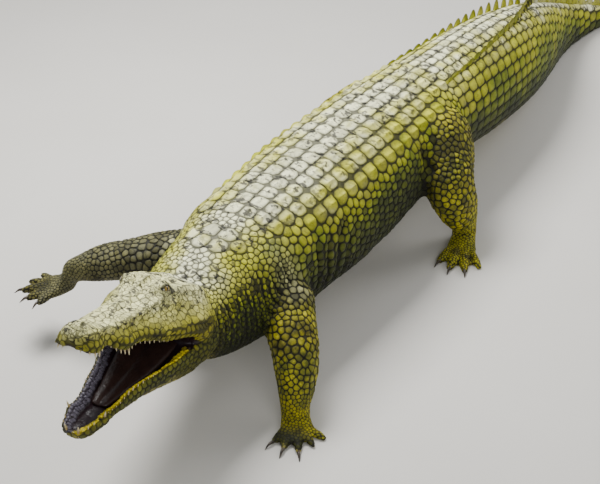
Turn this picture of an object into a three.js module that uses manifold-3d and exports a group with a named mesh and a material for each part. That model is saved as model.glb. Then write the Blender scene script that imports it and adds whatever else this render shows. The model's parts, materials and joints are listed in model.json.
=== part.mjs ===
// A grown nile crocodile, 4 m long, standing on all fours with its mouth open.
// Millimetres, +X towards the head, +Y the animal's left, +Z up, feet and tail on Z = 0.
import * as THREE from "three";
import Module from "manifold-3d";

const wasm = await Module();
wasm.setup();

// ---- Driving dimensions ---------------------------------------------------------------

// Lengths along the animal are counted from the snout tip, in the line of the spine.
const JAW_JOINT = 550;
const HIPS = 1970;
const TAIL_TIP = 4000;
const JOINT_HEIGHT = 425;
const SKULL_PITCH = THREE.MathUtils.degToRad(26);
const JAW_PITCH = THREE.MathUtils.degToRad(0);
const GAP = 0.35;

// How far the spine has turned to the animal's left, seen from above, in radians.
const TURNS = [
  { s: 500, turn: 0.19 },
  { s: 700, turn: 0.13 },
  { s: 970, turn: 0.06 },
  { s: 1400, turn: 0.02 },
  { s: 1970, turn: 0.0 },
  { s: 2300, turn: 0.0 },
  { s: 2650, turn: 0.05 },
  { s: 2950, turn: 0.13 },
  { s: 3300, turn: 0.1 },
  { s: 3650, turn: -0.16 },
  { s: 4000, turn: -0.46 },
];

// Neck, trunk and tail: back and belly heights, half width, and how square the section is.
const BODY = [
  { s: 560, top: 503, bottom: 266, half: 144, square: 2.3 },
  { s: 640, top: 517, bottom: 220, half: 168, square: 2.3 },
  { s: 760, top: 530, bottom: 176, half: 188, square: 2.3 },
  { s: 880, top: 541, bottom: 150, half: 204, square: 2.35 },
  { s: 970, top: 549, bottom: 142, half: 216, square: 2.4 },
  { s: 1100, top: 557, bottom: 138, half: 229, square: 2.4 },
  { s: 1300, top: 563, bottom: 137, half: 242, square: 2.45 },
  { s: 1500, top: 566, bottom: 140, half: 246, square: 2.45 },
  { s: 1700, top: 566, bottom: 150, half: 238, square: 2.4 },
  { s: 1850, top: 565, bottom: 164, half: 222, square: 2.35 },
  { s: 1970, top: 564, bottom: 171, half: 212, square: 2.3 },
  { s: 2100, top: 560, bottom: 166, half: 207, square: 2.25 },
  { s: 2250, top: 551, bottom: 150, half: 200, square: 2.2 },
  { s: 2400, top: 542, bottom: 126, half: 194, square: 2.2 },
  { s: 2600, top: 522, bottom: 96, half: 182, square: 2.15 },
  { s: 2800, top: 482, bottom: 62, half: 162, square: 2.1 },
  { s: 3000, top: 422, bottom: 30, half: 135, square: 2.1 },
  { s: 3200, top: 344, bottom: 4, half: 104, square: 2.05 },
  { s: 3350, top: 280, bottom: -5, half: 81, square: 2.0 },
  { s: 3500, top: 216, bottom: -8, half: 60, square: 2.0 },
  { s: 3650, top: 156, bottom: -7, half: 44, square: 2.0 },
  { s: 3800, top: 100, bottom: -6, half: 29, square: 2.0 },
  { s: 3900, top: 62, bottom: -4, half: 19, square: 2.0 },
  { s: 3960, top: 38, bottom: -3, half: 12, square: 2.0 },
  { s: 4000, top: 17, bottom: -2, half: 5, square: 2.0 },
];
const WIDEST = 0.46;
const RING_SIDES = 20;
const TAIL_SIDES = 16;
const NECK_START = 575;
const NECK_END = 900;
const NECK_SPACING = 65;
const TRUNK_SPACING = 78;

// The tail's whorls: each carries crest scutes, in two rows and then in one.
const TAIL_START = 2060;
const WHORL = 55;
const DOUBLE_WHORLS = 17;
const SINGLE_WHORLS = 18;
const WHORLS_PER_LENGTH = 7;
const TRUNK_CUTS = [NECK_END, 1290, 1680, TAIL_START];
const CREST = [
  { s: 2060, rise: 9, spread: 0.6 },
  { s: 2400, rise: 20, spread: 0.52 },
  { s: 2700, rise: 34, spread: 0.4 },
  { s: 2995, rise: 50, spread: 0.11 },
  { s: 3150, rise: 56, spread: 0.04 },
  { s: 3400, rise: 52, spread: 0 },
  { s: 3700, rise: 36, spread: 0 },
  { s: 4000, rise: 12, spread: 0 },
];

// Skull and upper jaw: u runs forward from the jaw joint, half is the half width at the
// lip, flat the half width of the flat top, lip the wave of the tooth line.
const SKULL = [
  { u: -30, half: 134, flat: 78, high: 108, lip: 0, palate: 4 },
  { u: 20, half: 146, flat: 84, high: 124, lip: 0, palate: 5 },
  { u: 80, half: 145, flat: 82, high: 130, lip: -4, palate: 8 },
  { u: 130, half: 138, flat: 74, high: 132, lip: -7, palate: 10 },
  { u: 178, half: 127, flat: 56, high: 131, lip: -8, palate: 12 },
  { u: 220, half: 114, flat: 46, high: 117, lip: -6, palate: 13 },
  { u: 265, half: 98, flat: 44, high: 99, lip: -1, palate: 13 },
  { u: 310, half: 86, flat: 42, high: 85, lip: 2, palate: 13 },
  { u: 345, half: 80, flat: 41, high: 77, lip: -4, palate: 13 },
  { u: 380, half: 81, flat: 40, high: 71, lip: -11, palate: 13 },
  { u: 412, half: 75, flat: 37, high: 66, lip: -7, palate: 12 },
  { u: 452, half: 56, flat: 32, high: 61, lip: 7, palate: 13 },
  { u: 478, half: 59, flat: 33, high: 61, lip: 0, palate: 9 },
  { u: 505, half: 61, flat: 34, high: 64, lip: -5, palate: 8 },
  { u: 528, half: 53, flat: 30, high: 58, lip: -3, palate: 7 },
  { u: 543, half: 37, flat: 22, high: 48, lip: 0, palate: 6 },
  { u: 550, half: 19, flat: 12, high: 36, lip: 4, palate: 8 },
];

// Lower jaw: deep is the depth under the tooth line, rim its wave, floor the mouth's bed.
const JAW = [
  { u: -85, half: 98, deep: 84, rim: -8, floor: 8 },
  { u: -40, half: 132, deep: 114, rim: -2, floor: 2 },
  { u: 10, half: 144, deep: 130, rim: 0, floor: 1 },
  { u: 70, half: 142, deep: 130, rim: 0, floor: 5 },
  { u: 120, half: 133, deep: 118, rim: 1, floor: 16 },
  { u: 180, half: 120, deep: 99, rim: 3, floor: 28 },
  { u: 240, half: 102, deep: 80, rim: 2, floor: 32 },
  { u: 300, half: 84, deep: 64, rim: 5, floor: 30 },
  { u: 345, half: 74, deep: 54, rim: 6, floor: 28 },
  { u: 390, half: 67, deep: 47, rim: -3, floor: 24 },
  { u: 430, half: 61, deep: 44, rim: -1, floor: 20 },
  { u: 462, half: 60, deep: 43, rim: 5, floor: 17 },
  { u: 492, half: 52, deep: 41, rim: 4, floor: 13 },
  { u: 518, half: 44, deep: 37, rim: 4, floor: 10 },
  { u: 535, half: 32, deep: 30, rim: 4, floor: 6 },
  { u: 542, half: 17, deep: 20, rim: 2, floor: 3 },
];

// Teeth of one side: where along the jaw, how long outside the gum, how far they lean
// forward. The fifth tooth behind the notch above and the fourth below are the biggest.
const UPPER_TEETH = [
  { u: 540, long: 11 },
  { u: 528, long: 14 },
  { u: 512, long: 20 },
  { u: 494, long: 22 },
  { u: 475, long: 12 },
  { u: 436, long: 10 },
  { u: 421, long: 14 },
  { u: 406, long: 18 },
  { u: 390, long: 21 },
  { u: 372, long: 27 },
  { u: 352, long: 16 },
  { u: 334, long: 12 },
  { u: 316, long: 13 },
  { u: 298, long: 16 },
  { u: 280, long: 17 },
  { u: 262, long: 14 },
  { u: 244, long: 12 },
  { u: 227, long: 10 },
  { u: 211, long: 8 },
];
const LOWER_TEETH = [
  { u: 534, long: 21 },
  { u: 517, long: 12 },
  { u: 498, long: 13 },
  { u: 460, long: 27 },
  { u: 440, long: 11 },
  { u: 422, long: 10 },
  { u: 405, long: 10 },
  { u: 388, long: 11 },
  { u: 371, long: 13 },
  { u: 353, long: 17 },
  { u: 334, long: 18 },
  { u: 314, long: 15 },
  { u: 294, long: 13 },
  { u: 275, long: 11 },
  { u: 256, long: 9 },
];

const TOOTH_SIDES = 5;
const TOOTH_ROOT = 7;

const EYE = { u: 180, v: 59, w: 124, radius: 18.5 };
const BROW = { u: 172, v: 47, w: 124, radii: [44, 25, 23] };
const NOSTRILS = { u: 514, v: 0, w: 58, radii: [27, 30, 17] };

// The cheeks fill the corner of the mouth: half width, and reach above and below its line.
const CHEEKS = [
  { u: 92, half: 128, up: 26, down: 26 },
  { u: 50, half: 139, up: 40, down: 40 },
  { u: 0, half: 146, up: 84, down: 96 },
  { u: -60, half: 152, up: 104, down: 128 },
  { u: -120, half: 148, up: 88, down: 122 },
];
const CHEEK_SIDES = 14;
const CHEEK_ROUND = 0.8;

// The tongue lies flat in the bed of the lower jaw.
const TONGUE = [
  { u: 90, half: 84, low: -4, high: 6 },
  { u: 150, half: 82, low: -12, high: 1 },
  { u: 230, half: 70, low: -24, high: -8 },
  { u: 310, half: 50, low: -24, high: -9 },
  { u: 370, half: 38, low: -21, high: -9 },
  { u: 405, half: 26, low: -18, high: -10 },
];
const TONGUE_ROOT = 12;

// Limbs: points down the middle of each, counted from under the hips, with half width and
// half depth there. Lift is how high the foot is held over the ground.
const LIMBS = {
  front_left: {
    upper: [
      { at: [970, 85, 362], wide: 104, deep: 88 },
      { at: [1010, 155, 335], wide: 104, deep: 88 },
      { at: [1055, 220, 297], wide: 95, deep: 82 },
      { at: [1093, 274, 254], wide: 84, deep: 74 },
    ],
    lower: [
      { at: [1124, 307, 210], wide: 79, deep: 70 },
      { at: [1156, 332, 158], wide: 72, deep: 62 },
      { at: [1184, 348, 110], wide: 61, deep: 51 },
    ],
    ankle: { at: [1202, 355, 72], wide: 51, deep: 39 },
    lift: 0,
  },
  front_right: {
    upper: [
      { at: [970, -85, 352], wide: 102, deep: 84 },
      { at: [1012, -165, 333], wide: 100, deep: 80 },
      { at: [1058, -255, 316], wide: 87, deep: 74 },
      { at: [1096, -340, 300], wide: 76, deep: 67 },
    ],
    lower: [
      { at: [1126, -402, 286], wide: 71, deep: 61 },
      { at: [1157, -462, 268], wide: 64, deep: 53 },
      { at: [1186, -516, 250], wide: 53, deep: 42 },
    ],
    ankle: { at: [1206, -552, 236], wide: 44, deep: 33 },
    lift: 166,
  },
  hind_left: {
    upper: [
      { at: [10, 75, 385], wide: 152, deep: 122 },
      { at: [35, 150, 370], wide: 150, deep: 118 },
      { at: [82, 216, 330], wide: 132, deep: 104 },
      { at: [118, 262, 278], wide: 109, deep: 88 },
    ],
    lower: [
      { at: [120, 284, 224], wide: 92, deep: 76 },
      { at: [98, 294, 164], wide: 77, deep: 64 },
      { at: [68, 297, 114], wide: 61, deep: 52 },
    ],
    ankle: { at: [50, 298, 76], wide: 47, deep: 41 },
    lift: 0,
  },
  hind_right: {
    upper: [
      { at: [5, -75, 385], wide: 152, deep: 122 },
      { at: [20, -150, 372], wide: 150, deep: 118 },
      { at: [62, -226, 334], wide: 132, deep: 104 },
      { at: [98, -282, 282], wide: 109, deep: 88 },
    ],
    lower: [
      { at: [92, -306, 226], wide: 92, deep: 76 },
      { at: [56, -316, 164], wide: 77, deep: 64 },
      { at: [16, -320, 112], wide: 61, deep: 52 },
    ],
    ankle: { at: [-4, -321, 76], wide: 47, deep: 41 },
    lift: 0,
  },
};
const LIMB_SIDES = 12;
const TOE_SIDES = 6;

// Feet: the palm runs from the ankle to the knuckles, then each toe is fanned from them.
// Angles are in degrees, from the foot's own line, towards the animal's middle.
const HAND = {
  palm: 70,
  half: 52,
  rise: 22,
  toes: [
    { fan: 46, long: 62, thick: 15, clawed: true },
    { fan: 22, long: 82, thick: 15.5, clawed: true },
    { fan: 0, long: 90, thick: 15.5, clawed: true },
    { fan: -24, long: 78, thick: 13.5, clawed: false },
    { fan: -52, long: 60, thick: 12.5, clawed: false },
  ],
  webbed: false,
  claw: 30,
};
const FOOT = {
  palm: 104,
  half: 50,
  rise: 23,
  toes: [
    { fan: 25, long: 84, thick: 16, clawed: true },
    { fan: 8, long: 108, thick: 16.5, clawed: true },
    { fan: -9, long: 116, thick: 16, clawed: true },
    { fan: -27, long: 100, thick: 13, clawed: false },
  ],
  webbed: true,
  claw: 32,
};
const POINTING = { front_left: 38, front_right: -50, hind_left: 22, hind_right: -20 };

// ---- Colours ---------------------------------------------------------------------------

function paint(colour, roughness) {
  return new THREE.MeshStandardMaterial({ color: colour, roughness, metalness: 0 });
}
const HIDE = paint(0x7d7f4c, 0.7);
const TONGUE_FLESH = paint(0xc79a4e, 0.5);
const EYEBALL = paint(0x8a7a2c, 0.15);
const HORN = paint(0x2a2620, 0.45);

// ---- Solids ----------------------------------------------------------------------------

const part = new THREE.Group();
part.name = "nile_crocodile";

function solid(points, triangles) {
  const positions = new Float32Array(points.length * 3);
  points.forEach((p, i) => p.toArray(positions, i * 3));
  const build = (flip) => {
    const index = new Uint32Array(triangles.length * 3);
    triangles.forEach(([a, b, c], i) => index.set(flip ? [a, c, b] : [a, b, c], i * 3));
    const mesh = new wasm.Mesh({ numProp: 3, vertProperties: positions, triVerts: index });
    return new wasm.Manifold(mesh);
  };
  const made = build(false);
  return made.volume() > 0 ? made : build(true);
}

// A closed solid through rings that all have the same number of points.
function loft(rings) {
  const sides = rings[0].length;
  const points = rings.flat();
  const triangles = [];
  for (let r = 0; r + 1 < rings.length; r += 1) {
    for (let k = 0; k < sides; k += 1) {
      const a = r * sides + k;
      const b = r * sides + ((k + 1) % sides);
      triangles.push([a, b, b + sides], [a, b + sides, a + sides]);
    }
  }
  const cap = (start, flip) => {
    const centre = points.push(middleOf(points.slice(start, start + sides))) - 1;
    for (let k = 0; k < sides; k += 1) {
      const a = start + k;
      const b = start + ((k + 1) % sides);
      triangles.push(flip ? [centre, b, a] : [centre, a, b]);
    }
  };
  cap(0, true);
  cap((rings.length - 1) * sides, false);
  return solid(points, triangles);
}

function middleOf(ring) {
  const sum = new THREE.Vector3();
  ring.forEach((p) => sum.add(p));
  return sum.divideScalar(ring.length);
}

// The same loft a little bigger all round, for the clearance it cuts into a neighbour.
function clearance(rings, by) {
  const last = rings.length - 1;
  const axis = (i) => {
    const ahead = middleOf(rings[Math.min(i + 1, last)]);
    return ahead.sub(middleOf(rings[Math.max(i - 1, 0)])).normalize();
  };
  const wider = rings.map((ring, i) => {
    const line = axis(i);
    const middle = middleOf(ring);
    const edge = (k) => ring[(k + 1) % ring.length].clone().sub(ring[k]).cross(line).normalize();
    const out = edge(0).dot(ring[0].clone().sub(middle)) > 0 ? by : -by;
    return ring.map((p, k) => {
      const before = edge((k + ring.length - 1) % ring.length);
      const after = edge(k);
      const share = out / Math.max(1 + before.dot(after), 0.4);
      return p.clone().addScaledVector(before.add(after), share);
    });
  });
  wider[0].forEach((p) => p.addScaledVector(axis(0), -by));
  wider[last].forEach((p) => p.addScaledVector(axis(last), by));
  return loft(wider);
}

function box(size, centre) {
  const g = new THREE.BoxGeometry(size[0], size[1], size[2]).translate(...centre);
  g.deleteAttribute("uv");
  g.deleteAttribute("normal");
  return fromGeometry(g);
}

function fromGeometry(g) {
  const source = g.getAttribute("position");
  const seen = new Map();
  const points = [];
  const of = [];
  for (let i = 0; i < source.count; i += 1) {
    const p = new THREE.Vector3().fromBufferAttribute(source, i);
    const key = p.toArray().map((x) => Math.round(x * 1000)).join();
    if (!seen.has(key)) seen.set(key, points.push(p) - 1);
    of.push(seen.get(key));
  }
  const triangles = [];
  for (let i = 0; i < g.index.count; i += 3) {
    const [a, b, c] = [0, 1, 2].map((k) => of[g.index.getX(i + k)]);
    if (a !== b && b !== c && c !== a) triangles.push([a, b, c]);
  }
  return solid(points, triangles);
}

function ellipsoid(centre, radii, turn, wide = 14, high = 9) {
  const g = new THREE.SphereGeometry(1, wide, high).scale(...radii);
  return fromGeometry(g.applyMatrix4(turn).translate(centre.x, centre.y, centre.z));
}

function largest(made) {
  const pieces = made.decompose();
  return pieces.reduce((a, b) => (a.volume() > b.volume() ? a : b));
}

const GROUND = box([9000, 4000, 1000], [0, 0, 500]);

function add(name, made, material) {
  const found = largest(made).simplify(0.15).getMesh();
  const g = new THREE.BufferGeometry();
  g.setAttribute("position", new THREE.BufferAttribute(found.vertProperties, 3));
  g.setIndex(new THREE.BufferAttribute(found.triVerts, 1));
  g.computeVertexNormals();
  const mesh = new THREE.Mesh(g, material);
  mesh.name = name;
  part.add(mesh);
}

// A value between stations, by a curve that stays smooth through them.
function along(stations, key, name, where) {
  const last = stations.length - 1;
  const x = (i) => stations[i][key];
  const y = (i) => stations[i][name];
  const rising = x(last) > x(0) ? 1 : -1;
  if ((where - x(0)) * rising <= 0) return y(0);
  if ((where - x(last)) * rising >= 0) return y(last);
  let i = 0;
  while ((where - x(i + 1)) * rising > 0) i += 1;
  const slope = (j) => {
    const a = Math.max(j - 1, 0);
    const b = Math.min(j + 1, last);
    return (y(b) - y(a)) / (x(b) - x(a));
  };
  const h = x(i + 1) - x(i);
  const t = (where - x(i)) / h;
  const ends = y(i) * (1 + 2 * t) * (1 - t) ** 2 + y(i + 1) * t * t * (3 - 2 * t);
  return ends + h * (slope(i) * t * (1 - t) ** 2 - slope(i + 1) * t * t * (1 - t));
}

// ---- Spine -----------------------------------------------------------------------------

const STEP = 5;
const SPINE = (() => {
  const points = new Map([[HIPS, new THREE.Vector2(0, 0)]]);
  for (let s = HIPS; s > 0; s -= STEP) {
    const turn = along(TURNS, "s", "turn", s - STEP / 2);
    const next = points.get(s).clone();
    next.x += STEP * Math.cos(turn);
    next.y += STEP * Math.sin(turn);
    points.set(s - STEP, next);
  }
  for (let s = HIPS; s < TAIL_TIP; s += STEP) {
    const turn = along(TURNS, "s", "turn", s + STEP / 2);
    const next = points.get(s).clone();
    next.x -= STEP * Math.cos(turn);
    next.y -= STEP * Math.sin(turn);
    points.set(s + STEP, next);
  }
  return points;
})();

// A point beside and above the spine: side to the animal's left, height over the ground.
function beside(s, side, height) {
  const from = Math.min(Math.floor(s / STEP) * STEP, TAIL_TIP - STEP);
  const share = (s - from) / STEP;
  const turn = along(TURNS, "s", "turn", s);
  const middle = SPINE.get(from).clone().lerp(SPINE.get(from + STEP), share);
  const x = middle.x - side * Math.sin(turn);
  const y = middle.y + side * Math.cos(turn);
  return new THREE.Vector3(x, y, height);
}

function bodyRing(s, sides) {
  const [top, bottom, half, square] = ["top", "bottom", "half", "square"].map((name) =>
    along(BODY, "s", name, s),
  );
  const level = bottom + WIDEST * (top - bottom);
  const ring = [];
  for (let k = 0; k < sides; k += 1) {
    const angle = (2 * Math.PI * k) / sides;
    const c = Math.cos(angle);
    const d = Math.sin(angle);
    const side = Math.sign(c) * Math.abs(c) ** (2 / square) * half;
    const reach = d > 0 ? top - level : level - bottom;
    ring.push(beside(s, side, level + Math.sign(d) * Math.abs(d) ** (2 / square) * reach));
  }
  return ring;
}

function bodyRings(from, to, spacing, sides) {
  const count = Math.max(2, Math.round((to - from) / spacing));
  const rings = [];
  for (let i = 0; i <= count; i += 1) {
    rings.push(bodyRing(from + ((to - from) * i) / count, sides));
  }
  return rings;
}

// ---- Head ------------------------------------------------------------------------------

const HEAD_TURN = along(TURNS, "s", "turn", JAW_JOINT);
const JOINT = beside(JAW_JOINT, 0, JOINT_HEIGHT);

// The frame of the skull or of the lower jaw: u forward, v to the left, w up.
function headFrame(pitch) {
  const forward = new THREE.Vector3(
    Math.cos(pitch) * Math.cos(HEAD_TURN),
    Math.cos(pitch) * Math.sin(HEAD_TURN),
    Math.sin(pitch),
  );
  const left = new THREE.Vector3(-Math.sin(HEAD_TURN), Math.cos(HEAD_TURN), 0);
  const up = forward.clone().cross(left);
  const turn = new THREE.Matrix4().makeBasis(forward, left, up);
  const point = (u, v, w) => new THREE.Vector3(u, v, w).applyMatrix4(turn).add(JOINT);
  return { turn, point };
}
const skull = headFrame(SKULL_PITCH);
const jaw = headFrame(JAW_PITCH);

function mirrored(frame, u, halfSection) {
  const left = halfSection.map(([v, w]) => frame.point(u, v, w));
  const right = halfSection.slice(1, -1).map(([v, w]) => frame.point(u, -v, w));
  return [...left, ...right.reverse()];
}

function skullRing(station) {
  const { u, half, flat, high, lip, palate } = station;
  return mirrored(skull, u, [
    [0, palate],
    [half * 0.5, palate * 0.85],
    [half - 17, 2 + lip * 0.6],
    [half - 2, lip],
    [half, lip + 7],
    [half, high * 0.3],
    [half * 0.93, high * 0.5],
    [half * 0.45 + flat * 0.5, high * 0.76],
    [flat + 3, high * 0.95],
    [flat * 0.8, high],
    [0, high - 1],
  ]);
}

function jawRing(station) {
  const { u, half, deep, rim, floor } = station;
  const wall = Math.min(26, half * 0.4);
  return mirrored(jaw, u, [
    [0, -deep],
    [half * 0.42, -deep * 0.98],
    [half * 0.78, -deep * 0.84],
    [half * 0.96, -deep * 0.52],
    [half, -deep * 0.2],
    [half - 2, rim],
    [half - wall * 0.6, rim - 1],
    [half - wall, -floor * 0.7],
    [half * 0.4, -floor],
    [0, -floor],
  ]);
}

// Teeth: slim cones that grow out of the lip line, leaning out and curved back in.
function tooth(frame, stations, sign, { u, long }, side) {
  const half = along(stations, "u", "half", u) - 9;
  const root = along(stations, "u", sign < 0 ? "lip" : "rim", u);
  const end = stations[stations.length - 1].u;
  const round = Math.min(1, (end + 3 - u) / 22);
  const v = half * Math.sqrt(round);
  const lean = 1 - round;
  const wide = 2 + long * 0.16;
  const points = [];
  const triangles = [];
  for (let k = 0; k < TOOTH_SIDES; k += 1) {
    const a = (2 * Math.PI * (k + 0.5)) / TOOTH_SIDES;
    const ahead = u + wide * Math.cos(a);
    const beyond = v + wide * Math.sin(a);
    points.push(frame.point(ahead, side * beyond, root - sign * TOOTH_ROOT));
    triangles.push([k, (k + 1) % TOOTH_SIDES, TOOTH_SIDES]);
    if (k > 1) triangles.push([0, k, k - 1]);
  }
  const bow = long * 0.14;
  const beyond = v + (1 - lean) * bow;
  points.push(frame.point(u + lean * bow, side * beyond, root + sign * long));
  return solid(points, triangles);
}

function teeth(frame, stations, sign, list) {
  return list.flatMap((one) => [
    tooth(frame, stations, sign, one, 1),
    tooth(frame, stations, sign, one, -1),
  ]);
}

function eyeball(side, by = 0) {
  const centre = skull.point(EYE.u, side * EYE.v, EYE.w);
  const r = EYE.radius + by;
  return ellipsoid(centre, [r, r, r], skull.turn, 12, 8);
}

const skullRings = SKULL.map(skullRing);
const swelling = ({ u, v, w, radii }, side) =>
  ellipsoid(skull.point(u, side * v, w), radii, skull.turn, 10, 7);
const brow = (side) => swelling(BROW, side);
const nostrils = swelling(NOSTRILS, 1);
const skullShape = loft(skullRings).add(brow(1)).add(brow(-1)).add(nostrils);
const skullCut = clearance(skullRings, GAP * 2);

const upperTeeth = teeth(skull, SKULL, -1, UPPER_TEETH);
const headUpper = upperTeeth
  .reduce((whole, one) => whole.add(one), skullShape)
  .subtract(eyeball(1, GAP))
  .subtract(eyeball(-1, GAP));
add("head_upper", headUpper, HIDE);
add("eye_left", eyeball(1), EYEBALL);
add("eye_right", eyeball(-1), EYEBALL);

const jawRings = JAW.map(jawRing);
const jawBody = loft(jawRings).subtract(skullCut);
const jawCut = clearance(jawRings, GAP * 2);
const lowerTeeth = teeth(jaw, JAW, 1, LOWER_TEETH);
add("lower_jaw", lowerTeeth.reduce((whole, one) => whole.add(one), jawBody), HIDE);

const tongueRings = TONGUE.map(({ u, half, low, high }) =>
  mirrored(jaw, u, [
    [0, low - TONGUE_ROOT],
    [half * 0.7, low - TONGUE_ROOT],
    [half, low - 2],
    [half * 0.9, high - 3],
    [half * 0.5, high],
    [0, high - 2],
  ]),
);
const tongueCut = clearance(tongueRings, GAP * 2);
add("tongue", loft(tongueRings).subtract(jawCut).subtract(skullCut), TONGUE_FLESH);

// ---- Neck, trunk and tail --------------------------------------------------------------

const cheekFrame = headFrame((SKULL_PITCH + JAW_PITCH) / 2);
const cheekRings = CHEEKS.map(({ u, half, up, down }) => {
  const ring = [];
  for (let k = 0; k < CHEEK_SIDES; k += 1) {
    const a = (2 * Math.PI * k) / CHEEK_SIDES;
    const c = Math.cos(a);
    const d = Math.sin(a);
    const v = Math.sign(c) * Math.abs(c) ** CHEEK_ROUND * half;
    const w = Math.sign(d) * Math.abs(d) ** CHEEK_ROUND * (d > 0 ? up : down);
    ring.push(cheekFrame.point(u, v, w));
  }
  return ring;
});
const neckRings = bodyRings(NECK_START, NECK_END - GAP / 2, NECK_SPACING, RING_SIDES);
const neck = loft(neckRings)
  .add(loft(cheekRings))
  .subtract(skullCut)
  .subtract(jawCut)
  .subtract(tongueCut);
add("neck", neck, HIDE);

let trunkCut = clearance(neckRings, GAP);
["trunk_front", "trunk_middle", "trunk_rear"].forEach((name, i) => {
  const from = TRUNK_CUTS[i] + GAP / 2;
  const to = TRUNK_CUTS[i + 1] - GAP / 2;
  const rings = bodyRings(from, to, TRUNK_SPACING, RING_SIDES);
  trunkCut = trunkCut.add(clearance(rings, GAP));
  add(name, loft(rings), HIDE);
});

// One crest scute: a low keeled fin that leans back over the next one.
function scute(s, side, rise, thick, long) {
  const top = along(BODY, "s", "top", s);
  const half = along(BODY, "s", "half", s);
  const square = along(BODY, "s", "square", s);
  const drop = 1 - (1 - Math.abs(side) ** square) ** (1 / square);
  const seat = top - drop * (top - along(BODY, "s", "bottom", s)) * (1 - WIDEST);
  const at = (ahead, across, height) =>
    beside(s - ahead, side * half + across, seat + height);
  const sunk = -thick - 4;
  const points = [
    at(long / 2, -thick, sunk),
    at(long / 2, thick, sunk),
    at(-long / 2, thick, sunk),
    at(-long / 2, -thick, sunk),
    at(-long * 0.05, 0, rise * 0.9),
    at(-long * 0.42, 0, rise),
  ];
  return solid(points, [
    [0, 1, 2],
    [0, 2, 3],
    [0, 4, 1],
    [1, 4, 5],
    [1, 5, 2],
    [2, 5, 3],
    [3, 5, 4],
    [3, 4, 0],
  ]);
}

function crest(first, count) {
  const scutes = [];
  for (let k = first; k < first + count; k += 1) {
    const s = TAIL_START + (k + 0.5) * WHORL;
    const rise = along(CREST, "s", "rise", s);
    const spread = along(CREST, "s", "spread", s);
    const thick = 4 + along(BODY, "s", "half", s) * 0.055;
    const sides = k < DOUBLE_WHORLS ? [spread, -spread] : [0];
    sides.forEach((side) => scutes.push(scute(s, side, rise, thick, WHORL * 0.88)));
  }
  return scutes;
}

const TAIL_LENGTHS = (DOUBLE_WHORLS + SINGLE_WHORLS) / WHORLS_PER_LENGTH;
for (let i = 0; i < TAIL_LENGTHS; i += 1) {
  const from = TAIL_START + i * WHORLS_PER_LENGTH * WHORL;
  const last = i === TAIL_LENGTHS - 1;
  const to = last ? TAIL_TIP : from + WHORLS_PER_LENGTH * WHORL - GAP / 2;
  const rings = bodyRings(from + GAP / 2, to, WHORL * 1.75, i < 2 ? RING_SIDES : TAIL_SIDES);
  if (i === 0) trunkCut = trunkCut.add(clearance(rings, GAP));
  const whole = crest(i * WHORLS_PER_LENGTH, WHORLS_PER_LENGTH).reduce(
    (sum, one) => sum.add(one),
    loft(rings),
  );
  add(`tail_${i + 1}`, whole.intersect(GROUND), HIDE);
}

// ---- Limbs -----------------------------------------------------------------------------

// A ring across a limb at one of its stations, square to the line of the limb.
function limbRing(stations, i, shift = 0) {
  const at = (j) => new THREE.Vector3(...stations[j].at);
  const before = at(Math.max(i - 1, 0));
  const after = at(Math.min(i + 1, stations.length - 1));
  const line = after.sub(before).normalize();
  const ahead = new THREE.Vector3(1, 0, 0).addScaledVector(line, -line.x).normalize();
  const across = line.clone().cross(ahead);
  const centre = at(i).addScaledVector(line, shift);
  const { wide, deep } = stations[i];
  const ring = [];
  for (let k = 0; k < LIMB_SIDES; k += 1) {
    const a = (2 * Math.PI * k) / LIMB_SIDES;
    const p = centre.clone().addScaledVector(ahead, wide * Math.cos(a));
    ring.push(p.addScaledVector(across, deep * Math.sin(a)));
  }
  return ring;
}

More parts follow.
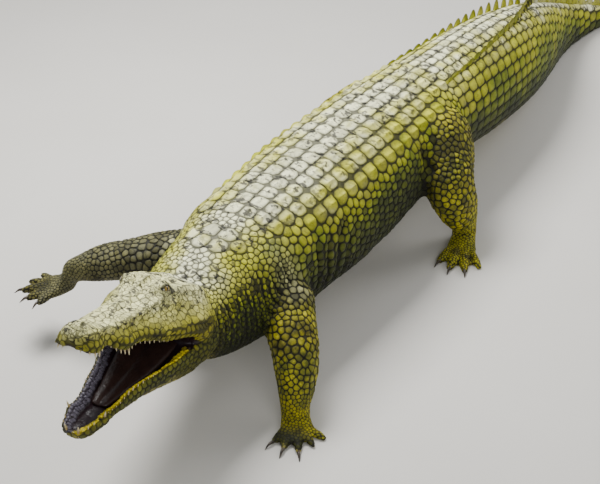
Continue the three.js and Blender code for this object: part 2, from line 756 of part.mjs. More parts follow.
// The foot: palm, toes and the skin between them, its sole cut flat by the ground.
function foot(stations, last, plan, pointing, side, lift) {
  const ankle = new THREE.Vector3(...stations[last].at);
  ankle.z -= lift;
  const heading = (fan) => {
    const a = THREE.MathUtils.degToRad(pointing - side * fan);
    return new THREE.Vector3(Math.cos(a), Math.sin(a), 0);
  };
  const forward = heading(0);
  const across = new THREE.Vector3(-forward.y, forward.x, 0);
  const palmRing = (reach, height, half, rise, tilt) => {
    const centre = ankle.clone().addScaledVector(forward, reach).setZ(height);
    const up = new THREE.Vector3(0, 0, Math.cos(tilt));
    up.addScaledVector(forward, -Math.sin(tilt));
    const ring = [];
    for (let k = 0; k < LIMB_SIDES; k += 1) {
      const a = (2 * Math.PI * k) / LIMB_SIDES;
      const p = centre.clone().addScaledVector(across, half * Math.cos(a));
      ring.push(p.addScaledVector(up, rise * Math.sin(a)));
    }
    return ring;
  };
  const { palm, half, rise, toes, webbed } = plan;
  const sole = [
    palmRing(-24, 20, half * 0.55, 22, 0.35),
    palmRing(-4, 24, half * 0.78, 30, 0.15),
    palmRing(palm * 0.35, 21, half * 0.86, rise * 1.3, 0),
    palmRing(palm * 0.75, 14, half * 1.02, rise, 0),
    palmRing(palm * 1.05, 9, half * 0.98, rise * 0.8, 0),
  ];
  let whole = loft(sole);
  const stub = [limbRing(stations, last - 1, GAP), limbRing(stations, last)];
  stub.flat().forEach((p) => p.setZ(p.z - lift));
  const heel = ankle.clone().setZ(24).addScaledVector(forward, 2);
  const base = stub[1].map((p) => p.clone().sub(ankle).multiplyScalar(0.98).setZ(0).add(heel));
  whole = whole.add(loft([stub[0], stub[1], base]));
  const claws = [];
  const knuckles = toes.map((toe, i) => {
    const share = (toes.length - 1) / 2 - i;
    const offset = (share / toes.length) * half * 1.75;
    return ankle
      .clone()
      .addScaledVector(forward, palm * (0.92 - Math.abs(share) * 0.06))
      .addScaledVector(across, -side * offset)
      .setZ(0);
  });
  const tips = [];
  toes.forEach((toe, i) => {
    const line = heading(toe.fan);
    const cross = new THREE.Vector3(-line.y, line.x, 0);
    const ring = (share, height, r) => {
      const c = knuckles[i].clone().addScaledVector(line, toe.long * share).setZ(height);
      const list = [];
      for (let k = 0; k < TOE_SIDES; k += 1) {
        const a = (2 * Math.PI * (k + 0.5)) / TOE_SIDES;
        const p = c.clone().addScaledVector(cross, r * Math.cos(a));
        list.push(p.setZ(height + r * 0.92 * Math.sin(a)));
      }
      return list;
    };
    const t = toe.thick;
    const toeRings = [
      ring(-0.3, t * 0.75, t * 0.95),
      ring(0.25, t * 1.05, t * 1.02),
      ring(0.7, t * 0.8, t * 0.9),
      ring(1, t * 0.55, t * 0.5),
    ];
    whole = whole.add(loft(toeRings));
    tips.push(knuckles[i].clone().addScaledVector(line, toe.long * 0.68));
    if (!toe.clawed) return;
    const ahead = (reach) => 1 + reach / toe.long;
    const claw = [
      ring(ahead(GAP), t * 0.56, t * 0.42),
      ring(ahead(plan.claw * 0.5), t * 0.56, t * 0.33),
      ring(ahead(plan.claw), t * 0.16, t * 0.06),
    ];
    claws.push(loft(claw));
  });
  const webs = webbed ? toes.length - 1 : 0;
  for (let i = 0; i < webs; i += 1) {
    const skin = [knuckles[i], tips[i], tips[i + 1], knuckles[i + 1]];
    const low = skin.map((p) => p.clone().setZ(3));
    const high = skin.map((p) => p.clone().setZ(10));
    whole = whole.add(loft([low, high]));
  }
  const raised = (made) => made.translate([0, 0, lift]);
  return { whole: raised(whole.intersect(GROUND)), claws: claws.map(raised) };
}

const CLAW_NAMES = ["inner", "second", "third"];
Object.entries(LIMBS).forEach(([where, limb]) => {
  const stations = [...limb.upper, ...limb.lower, limb.ankle];
  const upperEnd = limb.upper.length - 1;
  const lowerEnd = upperEnd + limb.lower.length;
  const upperRings = limb.upper.map((_, i) => limbRing(stations, i));
  upperRings.push(limbRing(stations, upperEnd + 1, -GAP));
  const lowerRings = limb.lower.map((_, i) => limbRing(stations, upperEnd + 1 + i));
  const limbName = where.startsWith("front") ? ["upper_arm", "forearm"] : ["thigh", "shank"];
  add(`${limbName[0]}_${where}`, loft(upperRings).subtract(trunkCut), HIDE);
  add(`${limbName[1]}_${where}`, loft(lowerRings), HIDE);
  const plan = where.startsWith("front") ? HAND : FOOT;
  const side = where.endsWith("left") ? 1 : -1;
  const pointing = POINTING[where];
  const { whole, claws } = foot(stations, lowerEnd + 1, plan, pointing, side, limb.lift);
  add(`foot_${where}`, whole, HIDE);
  claws.forEach((claw, i) => add(`claw_${CLAW_NAMES[i]}_${where}`, claw, HORN));
});

// ---- Origin: under the middle of the whole animal --------------------------------------

const bounds = new THREE.Box3().setFromObject(part);
const middle = bounds.getCenter(new THREE.Vector3());
part.children.forEach((mesh) => mesh.geometry.translate(-middle.x, -middle.y, -bounds.min.z));

export default part;
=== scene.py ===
import json
import math
import random

import bpy
import numpy as np
from mathutils import Matrix, Vector, kdtree, noise
from mathutils.bvhtree import BVHTree

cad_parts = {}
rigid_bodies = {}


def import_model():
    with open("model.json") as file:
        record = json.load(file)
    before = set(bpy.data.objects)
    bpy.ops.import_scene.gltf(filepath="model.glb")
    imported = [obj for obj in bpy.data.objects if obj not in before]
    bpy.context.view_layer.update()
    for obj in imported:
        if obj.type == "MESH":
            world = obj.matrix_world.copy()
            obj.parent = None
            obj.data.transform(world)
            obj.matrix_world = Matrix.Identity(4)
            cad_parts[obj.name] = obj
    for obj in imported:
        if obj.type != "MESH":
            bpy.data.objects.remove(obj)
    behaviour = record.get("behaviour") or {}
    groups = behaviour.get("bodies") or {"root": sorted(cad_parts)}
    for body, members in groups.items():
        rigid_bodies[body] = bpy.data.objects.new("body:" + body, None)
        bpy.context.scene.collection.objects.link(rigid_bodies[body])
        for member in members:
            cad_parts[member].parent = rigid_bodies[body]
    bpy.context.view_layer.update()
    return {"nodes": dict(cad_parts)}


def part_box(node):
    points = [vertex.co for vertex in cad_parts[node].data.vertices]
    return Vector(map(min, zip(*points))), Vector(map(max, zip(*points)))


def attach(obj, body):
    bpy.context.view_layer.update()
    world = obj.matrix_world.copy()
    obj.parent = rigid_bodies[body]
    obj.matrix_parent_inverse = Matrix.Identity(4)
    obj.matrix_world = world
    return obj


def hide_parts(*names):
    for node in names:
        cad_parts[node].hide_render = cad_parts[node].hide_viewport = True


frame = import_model()
bpy.ops.object.select_all(action="DESELECT")

# ---- Camera -----------------------------------------------------------------------------
# A long lens on a tall stand, ahead of the animal and to its left, looking down at it.
# Its place is measured from the left eye, so it follows the animal.
CAMERA_FROM_EYE = Vector((2.538, 2.315, 2.435))
CAMERA_HEADING = math.radians(215.9)
CAMERA_DOWN = math.radians(33.9)
CAMERA_ROLL = math.radians(-2.3)

eye_low, eye_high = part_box("eye_left")
left_eye = (eye_low + eye_high) / 2
lens = bpy.data.cameras.new("camera")
lens.sensor_width = 36
lens.lens = 90
camera = bpy.data.objects.new("camera", lens)
bpy.context.collection.objects.link(camera)
aim = Vector((math.cos(CAMERA_HEADING), math.sin(CAMERA_HEADING), 0)) * math.cos(CAMERA_DOWN)
aim.z = -math.sin(CAMERA_DOWN)
turned = aim.to_track_quat("-Z", "Y").to_matrix() @ Matrix.Rotation(CAMERA_ROLL, 3, "Z")
camera.matrix_world = Matrix.Translation(left_eye + CAMERA_FROM_EYE) @ turned.to_4x4()
bpy.context.scene.camera = camera

# ---- Studio floor -----------------------------------------------------------------------
# A pale floor of painted plaster, wide enough to fill the view from every side.
FLOOR_SIZE = 60
PLASTER = "D9D6CF"
PLASTER_SHADE = "CFCBC3"


def linear(code):
    """An sRGB hex colour as linear red, green, blue and alpha."""
    values = [int(code[k : k + 2], 16) / 255 for k in (0, 2, 4)]
    curve = [v / 12.92 if v <= 0.04045 else ((v + 0.055) / 1.055) ** 2.4 for v in values]
    return (*curve, 1.0)


def new_material(name):
    """An empty material with its nodes."""
    material = bpy.data.materials.new(name)
    material.use_nodes = True
    material.node_tree.nodes.clear()
    return material, material.node_tree


def add_node(tree, kind, inputs, stops=(), **settings):
    """A shader node with its settings, its colour stops, and its inputs set or linked."""
    node = tree.nodes.new("ShaderNode" + kind)
    for name, value in settings.items():
        setattr(node, name, value)
    if stops:
        elements = node.color_ramp.elements
        while len(elements) < len(stops):
            elements.new(1.0)
        for element, (where, code) in zip(elements, stops):
            element.position = where
            element.color = linear(code)
    for name, value in inputs.items():
        if isinstance(value, bpy.types.Node):
            value = next(output for output in value.outputs if output.enabled)
        if isinstance(value, bpy.types.NodeSocket):
            tree.links.new(value, node.inputs[name])
        else:
            node.inputs[name].default_value = value
    return node


bpy.ops.mesh.primitive_plane_add(size=FLOOR_SIZE)
floor = bpy.context.object
floor.name = "floor"
# Painted plaster: matt, with a very faint cloudiness left by the roller.
plaster, tree = new_material("painted_plaster")
place = add_node(tree, "TexCoord", {}).outputs["Object"]
cloud = add_node(tree, "TexNoise", {"Vector": place, "Scale": 1.5, "Detail": 3.0})
shades = {"Factor": cloud, 6: linear(PLASTER), 7: linear(PLASTER_SHADE)}
colour = add_node(tree, "Mix", shades, data_type="RGBA")
surface = add_node(tree, "BsdfPrincipled", {"Base Color": colour, "Roughness": 0.85, "IOR": 1.5})
add_node(tree, "OutputMaterial", {"Surface": surface})
floor.data.materials.append(plaster)

# ---- Studio light -----------------------------------------------------------------------
# A big soft box overhead, weaker ones by the camera and behind, and pale walls all round.
LIGHTS = (
    # name, place, looks at, size, watts
    ("overhead", (0.3, -1.1, 3.5), (0.3, 0.0, 0.3), 1.7, 230),
    ("beside_camera", (3.6, 3.2, 2.6), (0.9, 0.1, 0.4), 2.0, 55),
    ("behind", (-2.6, 2.0, 2.6), (-0.8, 0.0, 0.2), 1.8, 45),
)
WALLS = "E8ECF0"
WALL_LIGHT = 0.36
CEILING = 0.45

for name, spot, target, size, watts in LIGHTS:
    lamp = bpy.data.lights.new(name, "AREA")
    lamp.size = size
    lamp.energy = watts
    holder = bpy.data.objects.new(name, lamp)
    bpy.context.collection.objects.link(holder)
    way = Vector(target) - Vector(spot)
    holder.matrix_world = Matrix.Translation(spot) @ way.to_track_quat("-Z", "Y").to_matrix().to_4x4()

ceiling = bpy.data.lights.new("white_ceiling", "SUN")
ceiling.energy = CEILING
ceiling.angle = math.radians(120)
holder = bpy.data.objects.new("white_ceiling", ceiling)
bpy.context.collection.objects.link(holder)

world = bpy.data.worlds.new("studio")
world.use_nodes = True
glow = world.node_tree.nodes["Background"]
glow.inputs["Color"].default_value = linear(WALLS)
glow.inputs["Strength"].default_value = WALL_LIGHT
bpy.context.scene.world = world

# ---- Skin -------------------------------------------------------------------------------
# The animal's whole skin, in one piece from snout to tail tip: thick dry hide, drawn tight
# over the skull and loose at the neck and limbs. The scales are set on it afterwards.
# Millimetres. Lengths along the animal are counted from the snout tip, along the spine.
JAW_JOINT = 550
HIPS = 1970
TAIL_START = 2060
TAIL_TIP = 4000
JOINT_HEIGHT = 425
SKULL_PITCH = math.radians(26)
GAPE_PITCH = math.radians(13)
JAW_PITCH = 0.0
EYE = (180, 59, 124)
COAT_DEPTH = 3.0

# Length, and how far the spine has turned to the left there, in radians.
TURNS = (
    (500, 0.19),
    (700, 0.13),
    (970, 0.06),
    (1400, 0.02),
    (1970, 0.0),
    (2300, 0.0),
    (2650, 0.05),
    (2950, 0.13),
    (3300, 0.1),
    (3650, -0.16),
    (4000, -0.46),
)
# Length, height of back and of belly, half width, and how square the section is.
BODY = (
    (560, 503, 266, 144, 2.3),
    (640, 517, 220, 168, 2.3),
    (760, 530, 176, 188, 2.3),
    (880, 541, 150, 204, 2.35),
    (970, 549, 142, 216, 2.4),
    (1100, 557, 138, 229, 2.4),
    (1300, 563, 137, 242, 2.45),
    (1500, 566, 140, 246, 2.45),
    (1700, 566, 150, 238, 2.4),
    (1850, 565, 164, 222, 2.35),
    (1970, 564, 171, 212, 2.3),
    (2100, 560, 166, 207, 2.25),
    (2250, 551, 150, 200, 2.2),
    (2400, 542, 126, 194, 2.2),
    (2600, 522, 96, 182, 2.15),
    (2800, 482, 62, 162, 2.1),
    (3000, 422, 30, 135, 2.1),
    (3200, 344, 4, 104, 2.05),
    (3350, 280, -5, 81, 2.0),
    (3500, 216, -8, 60, 2.0),
    (3650, 156, -7, 44, 2.0),
    (3800, 100, -6, 29, 2.0),
    (3900, 62, -4, 19, 2.0),
    (3960, 38, -3, 12, 2.0),
    (4000, 17, -2, 5, 2.0),
)
WIDEST = 0.46
# Ahead of the jaw joint, half width at the lip, half width of the flat top, height,
# wave of the tooth line, height of the palate.
SKULL = (
    (-30, 134, 78, 108, 0, 4),
    (20, 146, 84, 124, 0, 5),
    (80, 145, 82, 130, -4, 8),
    (130, 138, 74, 132, -7, 10),
    (178, 127, 56, 131, -8, 12),
    (220, 114, 46, 117, -6, 13),
    (265, 98, 44, 99, -1, 13),
    (310, 86, 42, 85, 2, 13),
    (345, 80, 41, 77, -4, 13),
    (380, 81, 40, 71, -11, 13),
    (412, 75, 37, 66, -7, 12),
    (452, 56, 32, 61, 7, 13),
    (478, 59, 33, 61, 0, 9),
    (505, 61, 34, 64, -5, 8),
    (528, 53, 30, 58, -3, 7),
    (543, 37, 22, 48, 0, 6),
    (550, 19, 12, 36, 4, 8),
)
# Ahead of the jaw joint, half width, depth, wave of the rim, depth of the mouth's floor.
JAW = (
    (-85, 98, 84, -8, 8),
    (-40, 132, 114, -2, 2),
    (10, 144, 130, 0, 1),
    (70, 142, 130, 0, 5),
    (120, 133, 118, 1, 16),
    (180, 120, 99, 3, 28),
    (240, 102, 80, 2, 32),
    (300, 84, 64, 5, 30),
    (345, 74, 54, 6, 28),
    (390, 67, 47, -3, 24),
    (430, 61, 44, -1, 20),
    (462, 60, 43, 5, 17),
    (492, 52, 41, 4, 13),
    (518, 44, 37, 4, 10),
    (535, 32, 30, 4, 6),
    (542, 17, 20, 2, 3),
)
# Ahead of the jaw joint, half width, reach above and below the line of the gape.
CHEEKS = (
    (-120, 148, 88, 122),
    (-60, 152, 104, 128),
    (0, 146, 84, 96),
    (50, 139, 40, 40),
    (92, 128, 26, 26),
)
FLESH = [n for n in frame["nodes"] if not n.startswith(("claw", "eye", "tongue"))]
LIMB_NODES = [n for n in FLESH if n.startswith(("upper", "forearm", "foot", "thigh", "shank"))]


def along(table, column, where):
    """A table's value at a length, by a curve that stays smooth through its stations."""
    x = np.array([row[0] for row in table], float)
    y = np.array([row[column] for row in table], float)
    ahead = np.minimum(np.arange(len(x)) + 1, len(x) - 1)
    behind = np.maximum(np.arange(len(x)) - 1, 0)
    slope = (y[ahead] - y[behind]) / (x[ahead] - x[behind])
    w = np.clip(where, x[0], x[-1])
    i = np.clip(np.searchsorted(x, w, side="right") - 1, 0, len(x) - 2)
    h = x[i + 1] - x[i]
    t = (w - x[i]) / h
    ends = y[i] * (1 + 2 * t) * (1 - t) ** 2 + y[i + 1] * t * t * (3 - 2 * t)
    return ends + h * (slope[i] * t * (1 - t) ** 2 - slope[i + 1] * t * t * (1 - t))


SPINE_STEP = 5
marks = np.arange(0, TAIL_TIP + SPINE_STEP, SPINE_STEP)
headings = along(TURNS, 1, marks[:-1] + SPINE_STEP / 2)
spine_x = -np.concatenate([[0], np.cumsum(np.cos(headings))]) * SPINE_STEP
spine_y = -np.concatenate([[0], np.cumsum(np.sin(headings))]) * SPINE_STEP
spine_x -= np.interp(HIPS, marks, spine_x)
spine_y -= np.interp(HIPS, marks, spine_y)
HEAD_TURN = float(along(TURNS, 1, JAW_JOINT))
JOINT = np.array([*(np.interp(JAW_JOINT, marks, line) for line in (spine_x, spine_y)), JOINT_HEIGHT])


def head_axes(pitch):
    """Forward, left and up of the skull, of the lower jaw or of the line between them."""
    forward = np.array([
        math.cos(pitch) * math.cos(HEAD_TURN),
        math.cos(pitch) * math.sin(HEAD_TURN),
        math.sin(pitch),
    ])
    left = np.array([-math.sin(HEAD_TURN), math.cos(HEAD_TURN), 0.0])
    return np.array([forward, left, np.cross(forward, left)])


# The origin lies under the middle of the whole animal: the left eye says how far off.
shift = JOINT + np.array(EYE) @ head_axes(SKULL_PITCH)
shift = np.array(left_eye) - shift / 1000


def head_point(pitch, u, v, w):
    """A place on the head, in metres, from lengths ahead, to the left and up."""
    local = np.stack(np.broadcast_arrays(u, v, w), -1).astype(float)
    return (local @ head_axes(pitch) + JOINT) / 1000 + shift


def head_local(pitch, points):
    """Lengths ahead of the jaw joint, to the left and up, of places in metres."""
    return ((points - shift) * 1000 - JOINT) @ head_axes(pitch).T


def beside(s, side, height):
    """A place beside and above the spine, in metres."""
    turn = along(TURNS, 1, s)
    x = np.interp(s, marks, spine_x) - side * np.sin(turn)
    y = np.interp(s, marks, spine_y) + side * np.cos(turn)
    return np.stack(np.broadcast_arrays(x, y, height), -1) / 1000 + shift


def body_local(points):
    """Length along the spine, side and height in millimetres, of places in metres."""
    place = (points - shift) * 1000
    s = np.interp(-place[:, 0], -spine_x, marks)
    for _ in range(6):
        turn = along(TURNS, 1, s)
        dx = place[:, 0] - np.interp(s, marks, spine_x)
        dy = place[:, 1] - np.interp(s, marks, spine_y)
        s = np.clip(s - dx * np.cos(turn) - dy * np.sin(turn), 0, TAIL_TIP)
    side = dy * np.cos(turn) - dx * np.sin(turn)
    return s, side, place[:, 2]


def bowed(value, power):
    return np.sign(value) * np.abs(value) ** power


def body_point(s, angle, depth=COAT_DEPTH):
    """A place on the neck, trunk or tail: the angle runs up from the left side."""
    top, bottom, half, square = (along(BODY, k, s) for k in (1, 2, 3, 4))
    level = bottom + WIDEST * (top - bottom)
    side = bowed(np.cos(angle), 2 / square) * np.maximum(half - depth, half * 0.6)
    reach = np.where(np.sin(angle) > 0, top - level, level - bottom)
    height = level + bowed(np.sin(angle), 2 / square) * np.maximum(reach - depth, reach * 0.6)
    return beside(s, side, np.maximum(height, COAT_DEPTH))


def new_piece(name, points, faces):
    """A mesh at the origin, through places in metres."""
    mesh = bpy.data.meshes.new(name)
    mesh.from_pydata([tuple(point) for point in points], [], faces)
    piece = bpy.data.objects.new(name, mesh)
    bpy.context.collection.objects.link(piece)
    return piece


def loft(name, rings):
    """A closed mesh through rings of points, with a fan over each end."""
    count, sides = rings.shape[:2]
    faces = []
    for r in range(count - 1):
        a = r * sides
        for k in range(sides):
            after = (k + 1) % sides
            faces.append((a + k, a + after, a + sides + after, a + sides + k))
    last = (count - 1) * sides
    for k in range(sides):
        after = (k + 1) % sides
        faces.append((count * sides, after, k))
        faces.append((count * sides + 1, last + k, last + after))
    return new_piece(name, [*rings.reshape(-1, 3), rings[0].mean(0), rings[-1].mean(0)], faces)


def rounded(ring, count):
    """A closed outline made of a few corners, drawn as a smooth curve through them."""
    corners = len(ring)
    where = np.arange(count) * corners / count
    i = where.astype(int)
    t = (where - i)[:, None, None]
    p = [ring[(i + k) % corners] for k in (-1, 0, 1, 2)]
    curve = 2 * p[1] + (p[2] - p[0]) * t
    curve += (2 * p[0] - 5 * p[1] + 4 * p[2] - p[3]) * t**2
    return 0.5 * (curve + (3 * p[1] - 3 * p[2] + p[0] - p[3]) * t**3)


def head_rings(pitch, u, outline, count=72):
    """Rings across the head from one half of an outline, mirrored to the other side."""
    v = np.array([np.broadcast_to(point[0], u.shape) for point in outline])
    w = np.array([np.broadcast_to(point[1], u.shape) for point in outline])
    v = np.concatenate([v, -v[-2:0:-1]])
    w = np.concatenate([w, w[-2:0:-1]])
    ring = rounded(np.stack([v, w], -1), count)
    return head_point(pitch, u, ring[..., 0], ring[..., 1]).swapaxes(0, 1)


u = np.linspace(-30, 549, 120)
half, flat, high, lip, palate = (along(SKULL, k, u) for k in (1, 2, 3, 4, 5))
half = half - COAT_DEPTH * 0.7
high = high - COAT_DEPTH * 0.7
skull_rings = head_rings(SKULL_PITCH, u, (
    (0, palate),
    (half * 0.5, palate * 0.85),
    (half - 17, 2 + lip * 0.6),
    (half - 3, lip),
    (half, lip + 8),
    (half, high * 0.3),
    (half * 0.93, high * 0.5),
    (half * 0.45 + flat * 0.5, high * 0.76),
    (flat + 3, high * 0.95),
    (flat * 0.8, high),
    (0, high - 1),
))
u = np.linspace(-85, 541, 120)
half, deep, rim, bed = (along(JAW, k, u) for k in (1, 2, 3, 4))
half = half - COAT_DEPTH * 0.7
deep = deep - COAT_DEPTH * 0.7
wall = np.minimum(26, half * 0.4)
jaw_rings = head_rings(JAW_PITCH, u, (
    (0, -deep),
    (half * 0.42, -deep * 0.98),
    (half * 0.78, -deep * 0.84),
    (half * 0.96, -deep * 0.52),
    (half, -deep * 0.2),
    (half - 2, rim),
    (half - wall * 0.6, rim - 1),
    (half - wall, -bed * 0.7),
    (half * 0.4, -bed),
    (0, -bed),
))
u = np.linspace(-120, 92, 30)
half, rise, drop = (along(CHEEKS, k, u) for k in (1, 2, 3))
angle = np.linspace(0, 2 * math.pi, 60, endpoint=False)[:, None]
v = bowed(np.cos(angle), 0.8) * (half - COAT_DEPTH)
w = bowed(np.sin(angle), 0.8) * (np.where(np.sin(angle) > 0, rise, drop) - COAT_DEPTH)
cheek_rings = head_point(GAPE_PITCH, u, v, w).swapaxes(0, 1)
BODY_SIDES = 88
angle = np.linspace(0, 2 * math.pi, BODY_SIDES, endpoint=False)
body_rings = np.array([body_point(np.full(BODY_SIDES, s), angle) for s in np.linspace(575, 3999, 360)])

parts = [loft(name, rings) for name, rings in (
    ("skull", skull_rings),
    ("jaw", jaw_rings),
    ("cheeks", cheek_rings),
    ("skin", body_rings),
)]
skin = parts[-1]
# The brows and the raised pad round the nostrils.
for centre, radii in (
    ((172, 47, 122), (44, 25, 22)),
    ((172, -47, 122), (44, 25, 22)),
    ((514, 0, 57), (27, 30, 16)),
):
    bpy.ops.mesh.primitive_uv_sphere_add(segments=32, ring_count=20, radius=1)
    ball = bpy.context.object
    unit = np.array([v.co for v in ball.data.vertices]) * radii + centre
    ball.data.vertices.foreach_set("co", head_point(SKULL_PITCH, *unit.T).ravel())
    parts.append(ball)


def choose(target, element, wanted):
    """Selects just these vertices or faces of a mesh, and opens it for editing."""
    bpy.ops.object.select_all(action="DESELECT")
    target.select_set(True)
    bpy.context.view_layer.objects.active = target
    bpy.ops.object.mode_set(mode="EDIT")
    bpy.ops.mesh.select_mode(type=element)
    bpy.ops.mesh.select_all(action="DESELECT")
    bpy.ops.object.mode_set(mode="OBJECT")
    layer = target.data.vertices if element == "VERT" else target.data.polygons
    layer.foreach_set("select", np.broadcast_to(wanted, len(layer)))
    bpy.ops.object.mode_set(mode="EDIT")


def solid_copy(node_name, name, swell=0.0):
    """A solid's shape as a new piece, its loose triangles merged, and a little swollen."""
    piece = frame["nodes"][node_name].copy()
    piece.data = piece.data.copy()
    piece.data.materials.clear()
    piece.parent = None
    piece.name = name
    for key in list(piece.keys()):
        del piece[key]
    bpy.context.collection.objects.link(piece)
    choose(piece, "VERT", True)
    bpy.ops.mesh.remove_doubles(threshold=1e-5)
    bpy.ops.transform.shrink_fatten(value=swell)
    bpy.ops.object.mode_set(mode="OBJECT")
    return piece


LIMB_SWELL = 0.0008
FOOT_SWELL = 0.0024
for name in LIMB_NODES:
    parts.append(solid_copy(name, "limb", FOOT_SWELL if name.startswith("foot") else LIMB_SWELL))
bpy.ops.object.select_all(action="DESELECT")
for piece in parts:
    piece.select_set(True)
bpy.context.view_layer.objects.active = skin
bpy.ops.object.join()

SKIN_CELL = 0.0052


def apply_modifier(target, kind, **settings):
    """Adds a modifier with its settings and applies it at once."""
    bpy.context.view_layer.objects.active = target
    modifier = target.modifiers.new(kind.lower(), kind)
    for name, value in settings.items():
        setattr(modifier, name, value)
    bpy.ops.object.modifier_apply(modifier=modifier.name)


apply_modifier(skin, "REMESH", mode="VOXEL", voxel_size=SKIN_CELL, adaptivity=0.0)
# Only the outer surface is kept, not the pockets left where the pieces meet.
ahead = np.array([vertex.co.x for vertex in skin.data.vertices])
choose(skin, "VERT", ahead == ahead.max())
bpy.ops.mesh.select_linked()
bpy.ops.mesh.select_all(action="INVERT")
bpy.ops.mesh.delete(type="VERT")
bpy.ops.object.mode_set(mode="OBJECT")

# The limbs' middle lines, from inside the trunk to the knuckles, counted from the hips.
LIMB_LINES = {
    "front_left": (
        (970, 85, 362), (1055, 220, 297), (1116, 298, 225),
        (1160, 336, 150), (1202, 355, 60), (1257, 398, 14),
    ),
    "front_right": (
        (970, -85, 352), (1058, -255, 316), (1114, -378, 291),
        (1160, -470, 266), (1206, -552, 226), (1251, -606, 180),
    ),
    "hind_left": (
        (10, 75, 385), (82, 216, 330), (122, 276, 245),
        (98, 294, 164), (50, 298, 62), (146, 337, 14),
    ),
    "hind_right": (
        (5, -75, 385), (62, -226, 334), (98, -298, 250),
        (56, -316, 164), (-4, -321, 62), (94, -357, 14),
    ),
}
LIMB_NAMES = tuple(LIMB_LINES)


def read_points(mesh):
    points = np.empty(len(mesh.vertices) * 3)
    mesh.vertices.foreach_get("co", points)
    return points.reshape(-1, 3)


def write_points(mesh, points):
    mesh.vertices.foreach_set("co", points.ravel())
    mesh.update()


def read_normals(mesh):
    normals = np.empty(len(mesh.vertices) * 3, np.float32)
    mesh.vertex_normals.foreach_get("vector", normals)
    return normals.reshape(-1, 3).astype(float)


def relaxed(mesh, points, share, rounds):
    """Draws each point towards the middle of its neighbours, by its own share."""
    ends = np.empty(len(mesh.edges) * 2, np.int32)
    mesh.edges.foreach_get("vertices", ends)
    a, b = ends.reshape(-1, 2).T
    size = len(points)
    count = np.maximum(np.bincount(ends, minlength=size), 1)[:, None]
    for _ in range(rounds):
        total = np.stack([
            np.bincount(a, points[b, k], size) + np.bincount(b, points[a, k], size)
            for k in range(3)
        ], -1)
        points = points + share[:, None] * (total / count - points)
    return points


def window(value, low, high, soft):
    """One between low and high, fading to nothing over a soft edge outside them."""
    rising = np.clip((value - low) / soft + 1, 0, 1)
    falling = np.clip((high - value) / soft + 1, 0, 1)
    return rising * rising * (3 - 2 * rising) * falling * falling * (3 - 2 * falling)


def body_share(points):
    """Length along the body, height share of the section, side, and how far outside it."""
    s, side, height = body_local(points)
    top, bottom, half, square = (along(BODY, k, s) for k in (1, 2, 3, 4))
    level = bottom + WIDEST * (top - bottom)
    reach = np.where(height > level, top - level, level - bottom)
    outside = (np.abs(side) / half) ** square + (np.abs(height - level) / reach) ** square
    return s, (height - bottom) / (top - bottom), side, outside ** (1 / square)


def limb_local(points):
    """Which limb is nearest, the length along its line, its distance and its direction."""
    best = np.full(len(points), np.inf)
    which = np.zeros(len(points), int)
    length = np.zeros(len(points))
    way = np.zeros((len(points), 3))
    for number, line in enumerate(LIMB_LINES.values()):
        corners = np.array(line) / 1000 + shift
        travelled = 0.0
        for start, end in zip(corners[:-1], corners[1:]):
            step = end - start
            long = np.linalg.norm(step)
            t = np.clip((points - start) @ step / long**2, 0, 1)
            away = np.linalg.norm(points - start - t[:, None] * step, axis=1)
            near = away < best
            best[near] = away[near]
            which[near] = number
            length[near] = (travelled + t * long)[near] * 1000
            way[near] = step / long
            travelled += long
    return which, length, best * 1000, way


mesh = skin.data
points = read_points(mesh)
# The steps left by the cells are smoothed away, least of all on the toes.
TOE_ROOM = 0.003
toes = np.zeros(len(points))
for name in LIMB_NODES:
    if name.startswith("foot"):
        low, high = (np.array(corner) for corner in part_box(name))
        inside = (points > low - TOE_ROOM) & (points < high + TOE_ROOM)
        toes = np.maximum(toes, inside.all(1))
points = relaxed(mesh, points, 0.5 - 0.44 * toes, 5)
write_points(mesh, points)

# The mesh is finer where the skin is drawn into small forms: round the eyes, ears and nose.
FINE_RANGES = ((60, 255, 84), (492, 560, 44))
EYE_FINE = 42
for pass_number in range(2):
    centres = np.empty(len(mesh.polygons) * 3)
    mesh.polygons.foreach_get("center", centres)
    local = head_local(SKULL_PITCH, centres.reshape(-1, 3))
    wanted = np.zeros(len(local), bool)
    for near, far, above in FINE_RANGES:
        wanted |= (local[:, 0] > near) & (local[:, 0] < far) & (local[:, 2] > above) & (pass_number == 0)
    for hand in (1, -1):
        wanted |= np.linalg.norm(local - np.array(EYE) * (1, hand, 1), axis=1) < EYE_FINE
    choose(skin, "FACE", wanted)
    bpy.ops.mesh.subdivide(number_cuts=1, smoothness=0)
    bpy.ops.object.mode_set(mode="OBJECT")
points = read_points(mesh)
# The limbs run into the trunk, and the skull into the neck, in broad soft hollows.
SLACK = 0.55
s, share_up, side, outside = body_share(points)
meeting = window(outside, 0.95, 1.45, 0.2) * window(s, 820, 2250, 60)
nape = window(s, 520, 640, 50)
points = relaxed(mesh, points, SLACK * np.maximum(meeting, nape * 0.8), 26)
# So do the two jaws at the corner of the mouth.
corner = head_local(GAPE_PITCH, points)
hinge = window(corner[:, 0], 20, 175, 25) * window(np.abs(corner[:, 2]), 0, 55, 20)
points = relaxed(mesh, points, SLACK * hinge, 30)
# The wrist of the lifted forefoot hangs slack, with no step between arm and hand.
which, length, _, _ = limb_local(points)
slack_wrist = window(length, 478, 572, 24) * (which == LIMB_NAMES.index("front_right"))
points = relaxed(mesh, points, SLACK * slack_wrist, 60)

